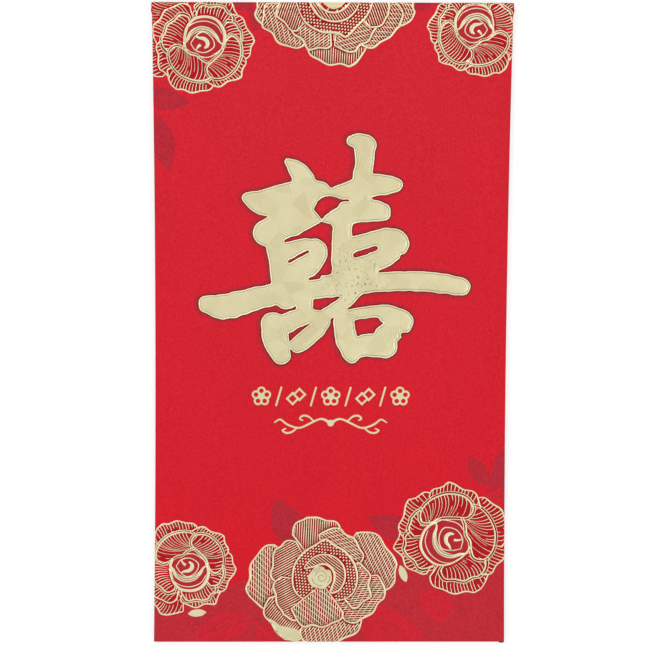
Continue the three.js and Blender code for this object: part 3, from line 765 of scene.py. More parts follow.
def makeClosureFlap():
    half = card["creaseHalf"]
    columns = spread(-half, half, card["mesh"])
    rows = mergedLines([creaseLine], overFold(headLine, headOut, 2), spread(headOut, flapEnd, card["mesh"]))
    piece = cutSheet("closure_flap_card", columns, rows, lambda u, v: True)
    roundFlap(piece, half, headOut, flapEnd, "flap")
    foldPiece(piece)
    addWall(piece)
    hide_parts("closure_flap", "flap_crease", "closure_crease")
    return bendWithFlap(piece)


cornerTip = {"low": (43.2, -82.8, 0.6), "high": (45.05, -82.2, 1.2), "slant": 0.2, "bevel": 0.12}


def makeCornerTip():  # folded paper that peeks out under the right corner, slanted at its outer end, coloured in painted shade
    clearSelection()
    bpy.ops.mesh.primitive_cube_add(size=1, location=(0, 0, 0))
    piece = bpy.context.object
    piece.name = "corner_tip_card"
    low, high = cornerTip["low"], cornerTip["high"]
    for vertex in piece.data.vertices:
        x, y, z = (low[i] if part < 0 else high[i] for i, part in enumerate(vertex.co))
        if y < high[1]:
            x += cornerTip["slant"] * (3 if x == low[0] else -1)
        vertex.co = (x * mm, y * mm, z * mm)
    bevel = piece.modifiers.new("bevel", "BEVEL")
    bevel.width = cornerTip["bevel"] * mm
    bevel.segments = 3
    applyModifiers(piece)
    smooth(piece, 40)
    dress(piece, cornerShade, "card")


makePocket()
makeClosureFlap()
makeCornerTip()
for node in ("seam_glue", "bottom_flap_glue"):
    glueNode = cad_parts[node]
    glueNode.data.materials.clear()
    glueNode.data.materials.append(glueFilm)
print("card folded")


# Printed plates: triangles over a few outlines, sorted into pieces by what lies on top


def plates(name, outlines, sort, lift, spacing=1.6, thickness=0.012):
    # outlines are the flat loops; sort gives each flat point the name of its group, or nothing
    points, edges = outlined(outlines)
    low, high, spots = gridOver(outlines, spacing)
    edges.append((len(points), len(points) + 1))
    points += [(low[0] - 1, creaseLine), (high[0] + 1, creaseLine)]
    points += [tuple(p) for p in spots[distanceTo(outlines, spots) > 0.12]]
    flat, triangles, middles = triangulated(points, edges)
    corners = flat[triangles]
    area = np.abs(np.cross(corners[:, 1] - corners[:, 0], corners[:, 2] - corners[:, 0]))
    groups = sort(middles)
    heights = np.full(len(flat), lift)
    pieces = {}
    for group in sorted(set(g for g in groups if g)):
        ofGroup = np.array([g == group for g in groups]) & (area > 1e-7)
        for crease in (False, True):
            chosen = ofGroup & ((middles[:, 1] > creaseLine) == crease)
            if chosen.any():
                title = f"{name}_{group}" + ("_crease" if crease else "")
                pieces[(group, crease)] = thinPlate(title, flat, triangles[chosen], heights, thickness)
    return pieces


def cutAtCrease(lines):  # lines below and past the crease line, cut exactly on it
    below, past = [], []
    for line in lines:
        start = 0
        for i in range(1, len(line)):
            a, b = line[i - 1], line[i]
            if (a[1] - creaseLine) * (b[1] - creaseLine) < 0:
                on = a + (b - a) * (creaseLine - a[1]) / (b[1] - a[1])
                part = np.vstack([line[start:i], on[None]])
                (past if a[1] > creaseLine else below).append(part)
                line = line.copy()
                line[i - 1] = on
                start = i - 1
        part = line[start:]
        (past if part[len(part) // 2][1] > creaseLine else below).append(part)
    return [p for p in below if len(p) > 1], [p for p in past if len(p) > 1]


def sampled(line, step=0.3):  # extra points on a line of x, y and width
    made = [line[0]]
    for a, b in zip(line, line[1:]):
        count = max(math.ceil(np.hypot(*(b - a)[:2]) / step), 1)
        made += [a + (b - a) * (k / count) for k in range(1, count + 1)]
    return np.array(made)


def clipped(lines, covers, shortest=0.35, within=()):  # what of the lines is on the sheet and under no cover
    if not lines:
        return []
    lines = [sampled(np.array(line, float)) for line in lines]
    points = np.concatenate(lines)[:, :2]
    keep = crossings([printedArea], points)
    for loop in within:
        keep &= crossings([loop], points)
    for cover in covers:
        keep &= ~crossings([cover], points)
    made, start = [], 0
    for line in lines:
        made += [thinned(part) for part in runs(line, keep[start:start + len(line)], shortest)]
        start += len(line)
    return made


def printLines(name, lines, base, top, material, slot, *nodes):  # a piece on the front, one over the crease
    below, past = cutAtCrease(lines)
    made = []
    if below:
        made.append(dress(drawn(name, below, base, top), material, slot, "envelope"))
    if past:
        made.append(dress(drawn(name + "_crease", past, base, top), material, slot, None))
        bendWithFlap(made[-1])
    if nodes:
        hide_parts(*nodes)


def dressPlates(pieces, materials, slot):
    for (group, crease), piece in pieces.items():
        dress(piece, materials[group], slot, None if crease else "envelope")
        if crease:
            bendWithFlap(piece)


def printGround(name, loops, groups, materials):  # under a flower: each petal's loop with its group
    def groundOf(points):
        made = np.full(len(points), "", dtype=object)
        for loop, group in zip(loops, groups):
            made[crossings([loop], points)] = group
        made[~crossings([printedArea], points)] = ""
        return made
    dressPlates(plates(name, loops + [printedArea], groundOf, lifts["ground"]), materials, "card")


def insideAll(title, areas, covers=()):  # for plates: the title for points in every area and under no cover
    def sort(points):
        held = [crossings(area, points) for area in areas] + [~crossings([cover], points) for cover in covers]
        return [title if i else None for i in np.all(held, axis=0)]
    return sort


def printFoil(name, gold, thin):
    printLines(name + "_foil_lines", gold, lifts["foilBase"], lifts["foil"], litRimFoil, "foil", name + "_foil")
    printLines(name + "_hatch", thin, lifts["foilBase"], lifts["foil"] - 0.006, hatchAndHighlightFoil, "foil")


# Flowers, drawn petal by petal

# Heights of ink and foil over the card
lifts = {"wash": 0.01, "leaf": 0.018, "ground": 0.026, "shade": 0.034, "foilBase": 0.022, "foil": 0.06,
         "dash": 0.07}
petalShape = {"base": 2.2, "droop": 0.15, "wave": 0.3, "point": 0.8, "pointAt": 0.32, "pointWidth": 0.36,
              "baseSpread": 0.5}
overlap = 0.2  # how far a petal's rim reaches under the petals over it
# Direction, half spread, reach and lean of each petal, and for some a shift, from the lowest up
rosePetals = [
    (146, 40, 13.2, 0.06), (66, 36, 12.6, -0.06), (-158, 32, 12.9, 0.05), (-108, 36, 13.6, -0.05),
    (14, 37, 13.1, -0.05), (-52, 36, 12.8, 0.06),
    (158, 44, 9.9, 0.06, -0.5, 0.2), (70, 40, 9.6, -0.06, 0.6, 0.9), (6, 38, 9.5, 0.05, 0.7, 0.2),
]
# The rose's heart: a dark hollow, then two petals that reach over its lower edge, each with the petal that
# gives its hatch; all closed curves run anticlockwise
roseHollow = [(-5.2, 0.6), (-4.6, -2.2), (-3, -4.6), (-0.4, -6), (3, -6), (5.4, -3.6), (6.2, 0.2), (6.1, 3.4),
              (4.2, 6.4), (1.2, 7.5), (-2.2, 6.9), (-4.4, 4.4)]
roseFront = [
    ([(-9.1, -2.4), (-8.6, -5.6), (-6, -8.6), (-2.2, -10.1), (1.2, -9.9), (3, -7.8), (2, -5.6), (0.2, -4.7),
      (-1.6, -3.2), (-3.4, -2.7), (-5.2, -1.3), (-7.2, -0.7)], (-128, 46, 11.4, -0.04)),
    ([(1, -6.4), (1.8, -9), (5.2, -9.4), (8.6, -7), (10.3, -3.2), (10, 0.4), (8, 2.2), (6.2, 0.8), (5.2, -2),
      (3.2, -4.2)], (-34, 46, 11.4, 0.04)),
]
roseHeartLines = [  # x, y and width
    [(-5.2, -0.6, 0.24), (-4, 1.1, 0.9), (-2.8, 2.9, 1.3), (-0.6, 3.9, 1.5), (1.8, 3.5, 1.4), (3.6, 2, 1),
     (4.6, 0.4, 0.5), (6, -0.5, 0.24)],
    [(-3.2, 0, 0.26), (-1.8, -1.9, 0.3), (0.8, -2.4, 0.26), (3.1, -0.8, 0.3), (2.5, 1.6, 0.26),
     (0.2, 3.1, 0.3), (-1.9, 1.9, 0.26), (-3.2, 0, 0.26)],
    [(-1.9, 1.9, 0.3), (-0.8, 1.5, 0.7), (0.4, 1.3, 1), (1.3, 0.4, 1.1), (1.2, -0.7, 0.9), (0.4, -1.3, 0.4)],
    [(-1.8, -1.9, 0.26), (-1.2, -0.9, 0.6), (-0.5, -0.3, 0.8)],
    [(-4.7, 1.6, 0.2), (-4, 4.1, 0.26), (-1.9, 5.6, 0.22), (1, 6, 0.28), (3.9, 4.8, 0.22), (5.4, 2.4, 0.2)],
    [(-4.5, -2.7, 0.24), (-1.4, -3.4, 0.3), (1.6, -3.7, 0.26), (4.2, -2.3, 0.3), (5.9, -0.6, 0.24)],
]
roseHeartDashes = [
    [(-3.5, 0.9, 0.1), (-3.1, 1.9, 0.18), (-2.1, 3, 0.2), (-0.4, 3.65, 0.22), (1.7, 3.2, 0.2), (3.2, 2, 0.1)],
    [(-3.3, 2.6, 0.1), (-1.9, 3.7, 0.18), (-0.4, 4.25, 0.18), (1.9, 3.8, 0.16), (3.3, 2.8, 0.1)],
]
# beside is how far the painted shadow lines are shifted from the hatch lines
rose = {"rim": 0.33, "collar": 0.62, "pitch": 0.84, "hatch": 0.155, "bow": 2.6, "gap": 0.3, "second": 0.2,
        "beside": (0.19, -0.06, -0.02), "doubled": (-3, -2, -1, 1, 2)}
# Three of the roses have wider petals behind the rest, which go over the edges
roses = {
    "rose_top_left": {"at": (-32.5, 72.3), "turn": 0, "scale": 0.93, "flip": 1,
                      "behind": [(188, 32, 16.4, 0.04), (141, 34, 18.6, 0.04)]},
    "rose_top_right": {"at": (35.8, 76.0), "turn": 180, "scale": 0.88, "flip": -1,
                       "behind": [(146, 36, 16, 0.04)]},
    "rose_bottom_left": {"at": (-36.6, -62.2), "turn": 0, "scale": 0.9, "flip": -1,
                         "behind": [(206, 30, 14.6, -0.04), (130, 36, 15, -0.04)]},
    "rose_bottom_right": {"at": (31.3, -55.0), "turn": 134, "scale": 1.1, "flip": 1, "behind": []},
}


def petalLoop(petal, inset=0.0, steps=40):
    direction, spread, reach, lean = petal[:4]
    a = np.linspace(-1, 1, steps + 1)
    peak = np.maximum(1 - np.abs(a - math.copysign(petalShape["pointAt"],
                                                   lean)) / petalShape["pointWidth"], 0) ** 2
    wave = petalShape["wave"] * np.cos(3 * np.pi * a + direction) + petalShape["point"] * peak
    radius = reach * (1 - petalShape["droop"] * a ** 4 + lean * a) + wave - inset
    angle = np.radians(direction) + a * (math.radians(spread) - inset / radius)
    base = petalShape["base"] + inset * 2
    ends = np.radians(direction + spread * petalShape["baseSpread"] * np.array([1, -1]))
    loop = np.stack([np.concatenate([radius * np.cos(angle), base * np.cos(ends)]),
                     np.concatenate([radius * np.sin(angle), base * np.sin(ends)])], 1)
    return loop + np.array(petal[4:6] if len(petal) == 6 else (0, 0))


def shapeLoop(shape, inset=0.0):  # a petal, or a closed curve through a list of points
    if isinstance(shape, tuple):
        return petalLoop(shape, inset)
    loop = closedCurve(shape, 7)
    return grown([loop], -inset)[0] if inset else loop


def place(points, spot):  # from a flower's own units to the sheet; a third column is a width
    points = np.array(points, float)
    c = math.cos(math.radians(spot["turn"])) * spot["scale"]
    s = math.sin(math.radians(spot["turn"])) * spot["scale"]
    x, y = points[:, 0], points[:, 1] * spot["flip"]
    columns = [spot["at"][0] + x * c - y * s, spot["at"][1] + x * s + y * c]
    columns += [points[:, k] for k in range(2, points.shape[1])]
    return np.stack(columns, 1)


def placedLoops(shapes, spot, inset=0.0):
    return [place(shapeLoop(shape, inset), spot) for shape in shapes]


def placedLines(lines, spot):
    return [place(line, spot) for line in lines]


def widened(loop, width, swing, chance):  # a closed line whose width swells and thins
    t = np.linspace(0, 2 * np.pi, len(loop), endpoint=False)
    turn = 6.3 * chance.random()
    pen = width * (1 + swing * (0.6 * np.sin(t + turn) + 0.4 * np.sin(2 * t + 2.1 * turn)))
    line = np.column_stack([loop, pen])
    return np.vstack([line, line[:1]])


def rimLine(shape, inset, width, chance):  # a petal's edge, a little thicker and thinner on its way
    loop = shapeLoop(shape, inset)
    if not isinstance(shape, tuple):
        return widened(loop, width * 1.1, 0.4, chance)
    line = np.vstack([loop[-1:], loop[:-1]])
    t = np.linspace(0, 1, len(line))
    pen = width * (1 + 0.16 * np.cos(2 * np.pi * (2 * t + chance.random())) + 0.18 * np.sin(np.pi * t))
    pen[[0, -1]] = width * 0.5
    return np.column_stack([line, pen])


# How the fan draws together, turns and spreads on its way in, and how its lines thin and break
fan = {"width": 1.25, "uneven": 0.25, "depth": 7.2, "points": 13, "unit": 5, "draw": 0.4, "turn": 0.6,
       "spread": 0.9, "thick": 1.3, "taper": 0.75, "broken": 0.12}


def fanHatch(petal, pitch, width, chance, inset=0.2):  # lines that bow and draw together from the rim inwards
    direction, spread, reach = petal[:3]
    c, s = math.cos(math.radians(direction)), math.sin(math.radians(direction))
    half = reach * math.sin(math.radians(spread))
    shift = np.array(petal[4:6] if len(petal) == 6 else (0, 0))
    bow = chance.choice((-1, 1)) * rose["bow"] * (0.6 + 0.5 * chance.random())
    count = int(2 * fan["width"] * half / pitch)
    rim = petalLoop(petal, inset)[:-2] - shift
    across = rim[:, 1] * c - rim[:, 0] * s
    along = rim[:, 0] * c + rim[:, 1] * s
    order = np.argsort(across)
    made = []
    for k in range(count + 1):
        step = k + fan["uneven"] * (chance.random() - 0.5)
        side = -fan["width"] * half + 2 * fan["width"] * half * step / count
        start = float(np.interp(side, across[order], along[order]))
        depth = np.linspace(0, fan["depth"], fan["points"])
        u = depth / fan["unit"]
        x = start - depth
        y = side * (1 - fan["draw"] * depth / reach) + bow * (u * u - fan["turn"] * u)
        y = y - fan["spread"] * side / half * u * u
        pen = width * (fan["thick"] - fan["taper"] * np.minimum(u, 1)) * (0.92 + 0.16 * chance.random())
        line = np.stack([x * c - y * s + shift[0], x * s + y * c + shift[1], pen], 1)
        if chance.random() < fan["broken"]:
            cut = chance.randint(3, 6)
            made += [line[:cut], line[cut + 1:]]
        else:
            made.append(line)
    return made


def makeTip(name, shapes, spot):  # a solid piece of foil at a petal's end
    number, outline = spot["tip"]
    covers = placedLoops(shapes[number + 1:], spot, overlap)
    loops = [place(closedCurve(outline), spot), place(petalLoop(shapes[number], 0.1), spot), printedArea]
    inTip = insideAll("tip", [[loop] for loop in loops], covers)
    dressPlates(plates(name, loops + covers, inTip, lifts["foil"], 1.2, 0.06), {"tip": engravedFoil}, "foil")


def makeRose(name, spot):
    chance = random.Random(name)
    fans = spot["behind"] + rosePetals + [None] + [petal for outline, petal in roseFront]
    shapes = spot["behind"] + rosePetals + [roseHollow] + [outline for outline, petal in roseFront]
    hollowAt = shapes.index(roseHollow)
    loops = placedLoops(shapes, spot)
    gold, thin, shade = [], [], []
    for i, (shape, source) in enumerate(zip(shapes, fans)):
        over = placedLoops(shapes[i + 1:], spot, overlap)
        wide = placedLoops(shapes[i + 1:], spot, -rose["gap"])
        width = rose["rim"] if source else rose["collar"]
        gold += clipped([place(rimLine(shape, width / 2, width, chance), spot)], over)
        if not source:
            continue
        hatch = placedLines(fanHatch(source, rose["pitch"], rose["hatch"], chance), spot)
        inside = placedLoops([shape], spot, rose["rim"] * 0.6)
        thin += clipped(hatch, wide, 0.7, inside)
        # painted shadow: dark copies of the hatch lines, shifted to one side
        shade += clipped([line + np.array(rose["beside"]) for line in hatch], wide, 0.7, inside)
        if i - hollowAt in rose["doubled"]:  # a dark line of painted shadow and a second thin gold one outside the rim
            second = place(rimLine(shape, -rose["gap"] - 0.1, rose["second"], chance), spot)
            gold += clipped([second], over, 1.5)
            shade += clipped([place(rimLine(shape, -rose["gap"] / 2, rose["gap"], chance), spot)], over, 1.5)
    covers = loops[hollowAt + 1:]
    heart = clipped([place(smoothPath(line, 5), spot) for line in roseHeartLines], covers, 0.3)
    gold += heart
    printFoil(name, gold, thin)
    printLines(name + "_shade_lines", shade, lifts["ground"], lifts["shade"], shadowAndDashInk, "card")
    dashes = clipped([place(smoothPath(line, 4), spot) for line in roseHeartDashes], covers, 0.2)
    printLines(name + "_heart_dashes", dashes, lifts["foil"] - 0.01, lifts["dash"], shadowAndDashInk, "card")
    groups = ["heart" if shape is roseHollow else "ground" for shape in shapes]
    printGround(name, loops, groups, {"heart": darkInkAndShadow, "ground": roseGround})


for name, spot in roses.items():
    makeRose(name, spot)
print("roses printed")

# The two peonies, from the lowest shape up: a petal or a closed curve, the direction of its hatch,
# and whether the hatch is plain, crossed or bricks. The last curve is the solid middle.
peony = {"rim": 0.42, "gap": 0.12}
peonies = {
    "peony_top": {"at": (0.4, 83.8), "turn": 0, "scale": 1, "flip": 1, "shapes": [
        ((60, 38, 12, 0.03), 90, "crossed"), ((120, 38, 12.2, -0.03), 90, "crossed"),
        ((184, 25, 19.4, 0.04), 62, "crossed"), ((357, 23, 19.6, -0.04), 118, "crossed"),
        ((272, 32, 16.8, 0.03), 90, "plain"), ((211, 27, 18.2, -0.07), 50, "crossed"),
        ((327, 30, 17, 0.08), 128, "crossed"), ((236, 34, 13.6, 0.05, -0.6, 0.4), 38, "crossed"),
        ((300, 33, 13.6, -0.05, 0.5, 0.2), 140, "crossed"), ((186, 36, 14.2, 0.04), 70, "plain"),
        ((352, 32, 13.6, -0.04), 112, "plain"),
        ([(-9.6, 1.6), (-9.2, -2.6), (-7.2, -6.4), (-3.4, -8.6), (0.6, -8.9), (3, -9.9), (5.6, -7.4),
          (8.4, -4.2), (9.4, 0.6), (5, 7), (-5, 7)], 45, "bricks"),
        ([(-6.2, 1.4), (-6, -1.8), (-3.8, -4.9), (-0.2, -6.1), (3.4, -5.3), (5.9, -2.4), (6.1, 1.2),
          (3, 4), (-3, 4)], 122, "plain"),
        ([(-4.4, 0.6), (-3.9, -1.9), (-1.6, -3.7), (1.4, -3.6), (3.7, -1.6), (4, 1), (2, 3.4), (-2, 3.4)], 45,
         "bricks"),
        ([(-2.9, 0.2), (-2.5, -1.5), (-1.1, -2.6), (0.7, -2.7), (2.2, -1.6), (2.7, 0.1), (1.9, 1.9),
          (-0.8, 2.6)], 0, "solid")]},
    "peony_bottom": {"at": (-2.2, -65), "turn": 0, "scale": 1, "flip": 1, "tip": (3, [
        (-13.4, -11.4), (-12.2, -15.4), (-8.6, -17.8), (-4.6, -16.2), (-5.6, -14.4), (-8, -13.4),
        (-10.4, -12.9), (-12.2, -11.6)
    ]), "grooves": [
        [(-1.5, 0.5), (-0.9, 1.5), (0.5, 1.6), (1.3, 0.6), (1.1, -0.6), (0.2, -1.1), (-0.6, -0.6),
         (-0.5, 0.3), (0.3, 0.6), (0.6, 0.1)], [(-2.3, -0.3), (-1.9, -1.4), (-0.9, -2.1), (0.3, -2.2)],
        [(1.6, -1.5), (2.2, -0.7), (2.2, 0.4)], [(-1.9, 1.6), (-1.2, 2.1), (-0.2, 2.3)]
    ], "shapes": [
        ((94, 30, 15.8, 0.04), 90, "plain"), ((178, 34, 18.6, 0.05), 88, "crossed"),
        ((20, 33, 19, -0.05), 60, "crossed"), ((232, 30, 18.4, 0.04), 54, "plain"),
        ((284, 35, 18, -0.05), 52, "crossed"), ((-30, 33, 16.4, 0.05), 3, "crossed"),
        ((158, 36, 13, -0.04, -0.4, 0), 28, "plain"), ((58, 38, 13, 0.04, 0.4, 0), 140, "crossed"),
        ((214, 38, 12.9, 0.05, -0.3, -0.4), 30, "plain"), ((-10, 36, 12.6, -0.04, 0.2, -0.4), 6, "crossed"),
        ([(-7.4, -2.4), (-5.2, -5.6), (-0.6, -6.6), (4.8, -6.4), (8.2, -4.6), (9.5, -0.6), (8.7, 3.6),
          (6.2, 7), (3.2, 8.8), (1.2, 10.3), (-1.4, 8.9), (-4.8, 6.6), (-7.2, 2.8)], 45, "bricks"),
        ([(2.2, -4.2), (4.7, -3.7), (6.3, -0.6), (5.8, 3.2), (3, 5.8), (-0.6, 6.1), (-3.4, 4.3), (-4.5, 2.2),
          (-2.2, 2.5), (0.8, 3.3), (2.9, 1.7), (3.2, -0.8)], 140, "plain"),
        ((262, 38, 13.2, -0.04, 0.6, -0.2), 88, "crossed"),
        ([(-3.2, 0.2), (-3, -1.6), (-1.5, -2.9), (0.5, -3), (2.3, -1.9), (2.8, 0.1), (2.2, 1.7), (1.2, 2.1),
          (0.2, 2.9), (-1.7, 2.5)], 0, "solid")]},
}


# Each hatch: its turn from the petal's direction, pitch, width, reach, the length and share of its dashes,
# and the shortest line that is kept
plainHatch = (0, 0.59, 0.195, 21, None, 0.4)
hatches = {"plain": [plainHatch], "crossed": [plainHatch, (52, 1.15, 0.15, 21, None, 0.4)],
           "bricks": [(0, 0.6, 0.31, 12, (0.95, 0.53), 0.2)]}
sway = {"height": 0.22, "along": 0.21, "turn": 0.4, "across": 0.3}


def straightHatch(angle, pitch, width, reach, dash, chance):  # parallel lines over a whole flower
    c, s = math.cos(math.radians(angle)), math.sin(math.radians(angle))
    made = []
    for k in range(-int(reach / pitch), int(reach / pitch) + 1):
        off = (k + 0.5) * pitch
        along = np.arange(-reach, reach + 0.1, 1.5)
        turn = sway["turn"] * math.sin(off * sway["across"])
        bow = off + sway["height"] * np.sin(along * sway["along"] + turn)
        line = np.stack([along * c - bow * s, along * s + bow * c, np.full(len(along), width)], 1)
        line[:, 2] *= 0.88 + 0.24 * np.array([chance.random() for _ in along])
        if dash:
            length, share = dash
            start = -reach + (k % 2) * length / 2
            for i in range(int(2 * reach / length)):
                a, b = start + i * length, start + (i + share) * length
                made.append(np.array([[x * c - off * s, x * s + off * c, width] for x in (a, b)]))
        else:
            made.append(line)
    return made


def makePeony(name, spot):
    chance = random.Random(name)
    shapes = [shape for shape, _, _ in spot["shapes"]]
    loops = placedLoops(shapes, spot)
    gold, thin = [], []
    for i, (shape, direction, style) in enumerate(spot["shapes"][:-1]):
        over = placedLoops(shapes[i + 1:], spot, overlap)
        wide = placedLoops(shapes[i + 1:], spot, -peony["gap"])
        inside = placedLoops([shape], spot, peony["rim"] * 0.8)
        gold += clipped([place(rimLine(shape, peony["rim"] / 2, peony["rim"], chance), spot)], over)
        for turn, pitch, width, reach, dash, shortest in hatches[style]:
            lines = straightHatch(direction + turn, pitch, width, reach, dash, chance)
            thin += clipped(placedLines(lines, spot), wide, shortest, inside)
    printFoil(name, gold, thin)
    if "tip" in spot:
        makeTip(name, shapes, spot)
    groups = ["bright" if style == "bricks" else "deep" for _, _, style in spot["shapes"]]
    printGround(name, loops[:-1], groups, {"bright": brickInk, "deep": deepInk})
    middle = [brushed(resampled(loops[-1], 0.2), 0.1, chance)]
    solid = plates(name, middle, insideAll("middle", [middle, [printedArea]]), lifts["dash"], 0.8, 0.06)
    dressPlates(solid, {"middle": engravedFoil}, "foil")
    if "grooves" in spot:
        lines = [place([(x, y, 0.15) for x, y in line], spot) for line in spot["grooves"]]
        lines = clipped([smoothPath(line, 5) for line in lines], [])
        # painted shade: dark lines for the grooves in the peony's solid middle
        printLines(name + "_grooves", lines, lifts["foil"], lifts["dash"] + 0.012, grooveShadeInk, "foil")


for name, spot in peonies.items():
    makePeony(name, spot)
print("peonies printed")


# The stamped ornaments: their outlines come from the frame, the relief is pressed here

stamp = {"edge": 0.012, "rim": 0.13, "groove": 0.045, "plateau": 0.11, "thickness": 0.1}
smallStamp = {"edge": 0.02, "rim": 0.08, "groove": 0.075, "plateau": 0.085, "thickness": 0.07}
# The relief at some distances from the edge, and how the foil's top wavers
reliefAt = (0, 0.06, 0.26, 0.42, 0.52, 0.72)
reliefOrder = ("edge", "rim", "rim", "groove", "groove", "plateau")
waver = {"height": 0.012, "across": 0.9, "along": 0.7}


def outlineOf(node):  # loops along the upper edge of a foil node
    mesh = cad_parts[node].data
    places = np.round(np.array([vertex.co[:] for vertex in mesh.vertices]) / mm, 4)
    top = places[:, 2].max() - 1e-3
    ways = set()
    for face in mesh.polygons:
        corners = [tuple(places[i]) for i in face.vertices]
        if all(corner[2] > top for corner in corners):
            for a, b in zip(corners, corners[1:] + corners[:1]):
                if (b[:2], a[:2]) in ways:
                    ways.remove((b[:2], a[:2]))
                else:
                    ways.add((a[:2], b[:2]))
    following = dict(ways)
    loops = []
    while following:
        first = at = next(iter(following))
        loop = []
        while at in following:
            loop.append(at)
            at = following.pop(at)
        if len(loop) > 2:
            loops.append(np.array(loop))
    return sorted(loops, key=lambda loop: (-len(loop), tuple(loop[0])))


def pressed(loops, relief):
    def height(points):
        level = np.interp(distanceTo(loops, points), reliefAt, [relief[part] for part in reliefOrder])
        across, along = points[:, 0] * waver["across"] + 1, points[:, 1] * waver["along"]
        return level + waver["height"] * np.sin(across) * np.sin(along)
    return height


def makeStamp(node, relief, step, passes, spacing, rings, material, swing=0):
    chance = random.Random(node)
    loops = [brushed(softened(resampled(loop, step), passes), swing, chance) for loop in outlineOf(node)]
    piece = filled(node.replace("_foil", "_stamp"), loops, spacing, pressed(loops, relief),
                   relief["thickness"], rings)
    smooth(piece, 30)
    dress(piece, material, "foil", "envelope", node)
    return loops


glyphLoops = makeStamp("double_happiness_foil", stamp, 0.28, 2, 0.7, reliefAt[1:], engravedFoil, 0.06)
smallNodes = ["leaf_left_foil", "leaf_right_foil", "scroll_foil"]
smallNodes += [f"ornament_{i}_foil" for i in range(1, 6)] + [f"slash_{i}_foil" for i in range(1, 5)]
for node in smallNodes:
    makeStamp(node, smallStamp, 0.16, 1, 1.2, reliefAt[1:2], plainFoil)
print("ornaments stamped")


# Dark red: the glyph's halo, which is painted shadow, and the ink of the leaves and the wash at the foot

# the painted shadow round the glyph: its width, and its shift to one side
haloShadow = {"width": 0.85, "shift": (-0.28, 0.02)}


def inkPlate(name, loops, lift, material):
    pieces = plates(name, loops + [printedArea], insideAll("ink", [loops, [printedArea]]), lift)
    dressPlates(pieces, {"ink": material}, "card")


pen = random.Random("pen")
fineLoops = [resampled(loop, 0.35) for loop in glyphLoops]


def followGlyph(name, distance, width, base, top, material, slot):  # lines along the glyph's outline
    lines = [thinned(widened(loop, width, 0.3, pen)) for loop in grown(fineLoops, distance)]
    dress(drawn(name, lines, base, top), material, slot)


# painted shade in the groove inside the glyph's rim
followGlyph("glyph_groove_shade", -0.46, 0.13, stamp["groove"] - 0.02, stamp["groove"] + 0.012, grooveShadeInk, "foil")
# painted shadow along the outside of the glyph's edge
followGlyph("glyph_edge_shadow_line", 0.07, 0.28, lifts["wash"] - 0.01, lifts["wash"] + 0.02, glyphEdgeShadowInk, "card")
# painted highlight: a bright gold line along the glyph's raised rim
followGlyph("glyph_rim_highlight", -0.15, 0.22, stamp["rim"] - 0.02, stamp["rim"] + 0.012, hatchAndHighlightFoil, "foil")
# a band of painted shadow round the raised glyph, shifted to the left
around = grown(fineLoops, haloShadow["width"])
inkPlate("glyph_halo_shadow", [softened(loop, 1) + np.array(haloShadow["shift"]) for loop in around], lifts["wash"],
         darkInkAndShadow)

leafOutlines = {
    "leaf_upper_left": [(-49, 61.8), (-45, 61.5), (-41, 61), (-38.2, 59.4), (-36.1, 57.6), (-38.4, 56.2),
        (-42, 55.5), (-45, 56.4), (-49, 57.5)],
    "leaf_below_it": [(-49, 53), (-45.6, 54.8), (-43, 53.4), (-40.6, 50.2), (-39.7, 46.8), (-40.3, 43),
        (-41.2, 40.1), (-43, 41.9), (-45.2, 44.2), (-49, 46)],
    "leaf_right": [(35.5, -33.4), (38.2, -34.3), (40.6, -36.9), (41.5, -40.9), (38.2, -40.5),
        (35.8, -37.4)],
    "leaf_right_edge": [(46, -29.8), (44.2, -31.6), (42.2, -34.4), (41.5, -38.2), (41.6, -41.8),
        (40.3, -44), (39.2, -47), (39.4, -52), (46, -52)],
    "leaf_middle_left": [(-14, -44.3), (-10.8, -46), (-8, -48.1), (-5.6, -50.4), (-5, -55), (-8, -58),
        (-12, -56.6), (-14.6, -52.4), (-15, -48)],
    "leaf_top_left": [(-25.6, 87), (-25.2, 82), (-24, 81), (-22, 80.7), (-20.6, 81), (-19.6, 82.4),
        (-19.4, 87)],
    "leaf_top": [(-20.9, 81), (-20.5, 78.4), (-20.3, 76.1), (-18.8, 75.8), (-17.4, 76.8), (-16.2, 78.6),
        (-17.6, 81)],
    "leaf_top_right": [(19, 87), (19.2, 82), (20.2, 80.9), (22, 80.7), (23.6, 81), (24.4, 82.6),
        (24.4, 87)],
    "leaf_middle_right": [(9.8, -49.1), (13.4, -48.5), (17.2, -48.8), (19.5, -52), (18.6, -55.4),
        (15, -54.8), (12, -52.3)],
}
washOutline = [(-50, -73.4), (-44, -72), (-36, -70.4), (-29, -68.9), (-23.4, -66.4), (-18, -65), (-8, -62),
               (6, -59.6), (13, -58.3), (17, -58.6), (24, -60.5), (36, -62), (50, -62.4), (50, -90),
               (0, -91), (-50, -90)]
brightLeaves = {
    "bright_leaf_left": [(-34.6, -80.6), (-31.8, -77.3), (-28.6, -75), (-25, -74.2), (-22, -74.9),
        (-19.8, -76.6), (-21.8, -79.4), (-25, -81.4), (-29.4, -82.1)],
    "bright_leaf_foot": [(-18.4, -77.8), (-15.6, -78.2), (-14, -80), (-14.6, -83), (-17.4, -83.6),
        (-18.8, -80.4)],
    "bright_leaf_right": [(23.4, -69), (27, -68.6), (30.4, -69.8), (31.6, -72.6), (30.2, -75.4), (28, -77),
        (25, -75.2), (23.2, -72.2)],
    "bright_leaf_low": [(9.6, -72.6), (14, -73), (18.6, -75.2), (22, -78), (24.2, -80.7), (20, -82),
        (15, -83.2), (10, -83), (8.6, -78)],
    "bright_leaf_corner": [(40.2, -43.6), (42.4, -42), (46, -41.4), (46, -47.4), (43, -46.6),
        (41.2, -45.2)],
}
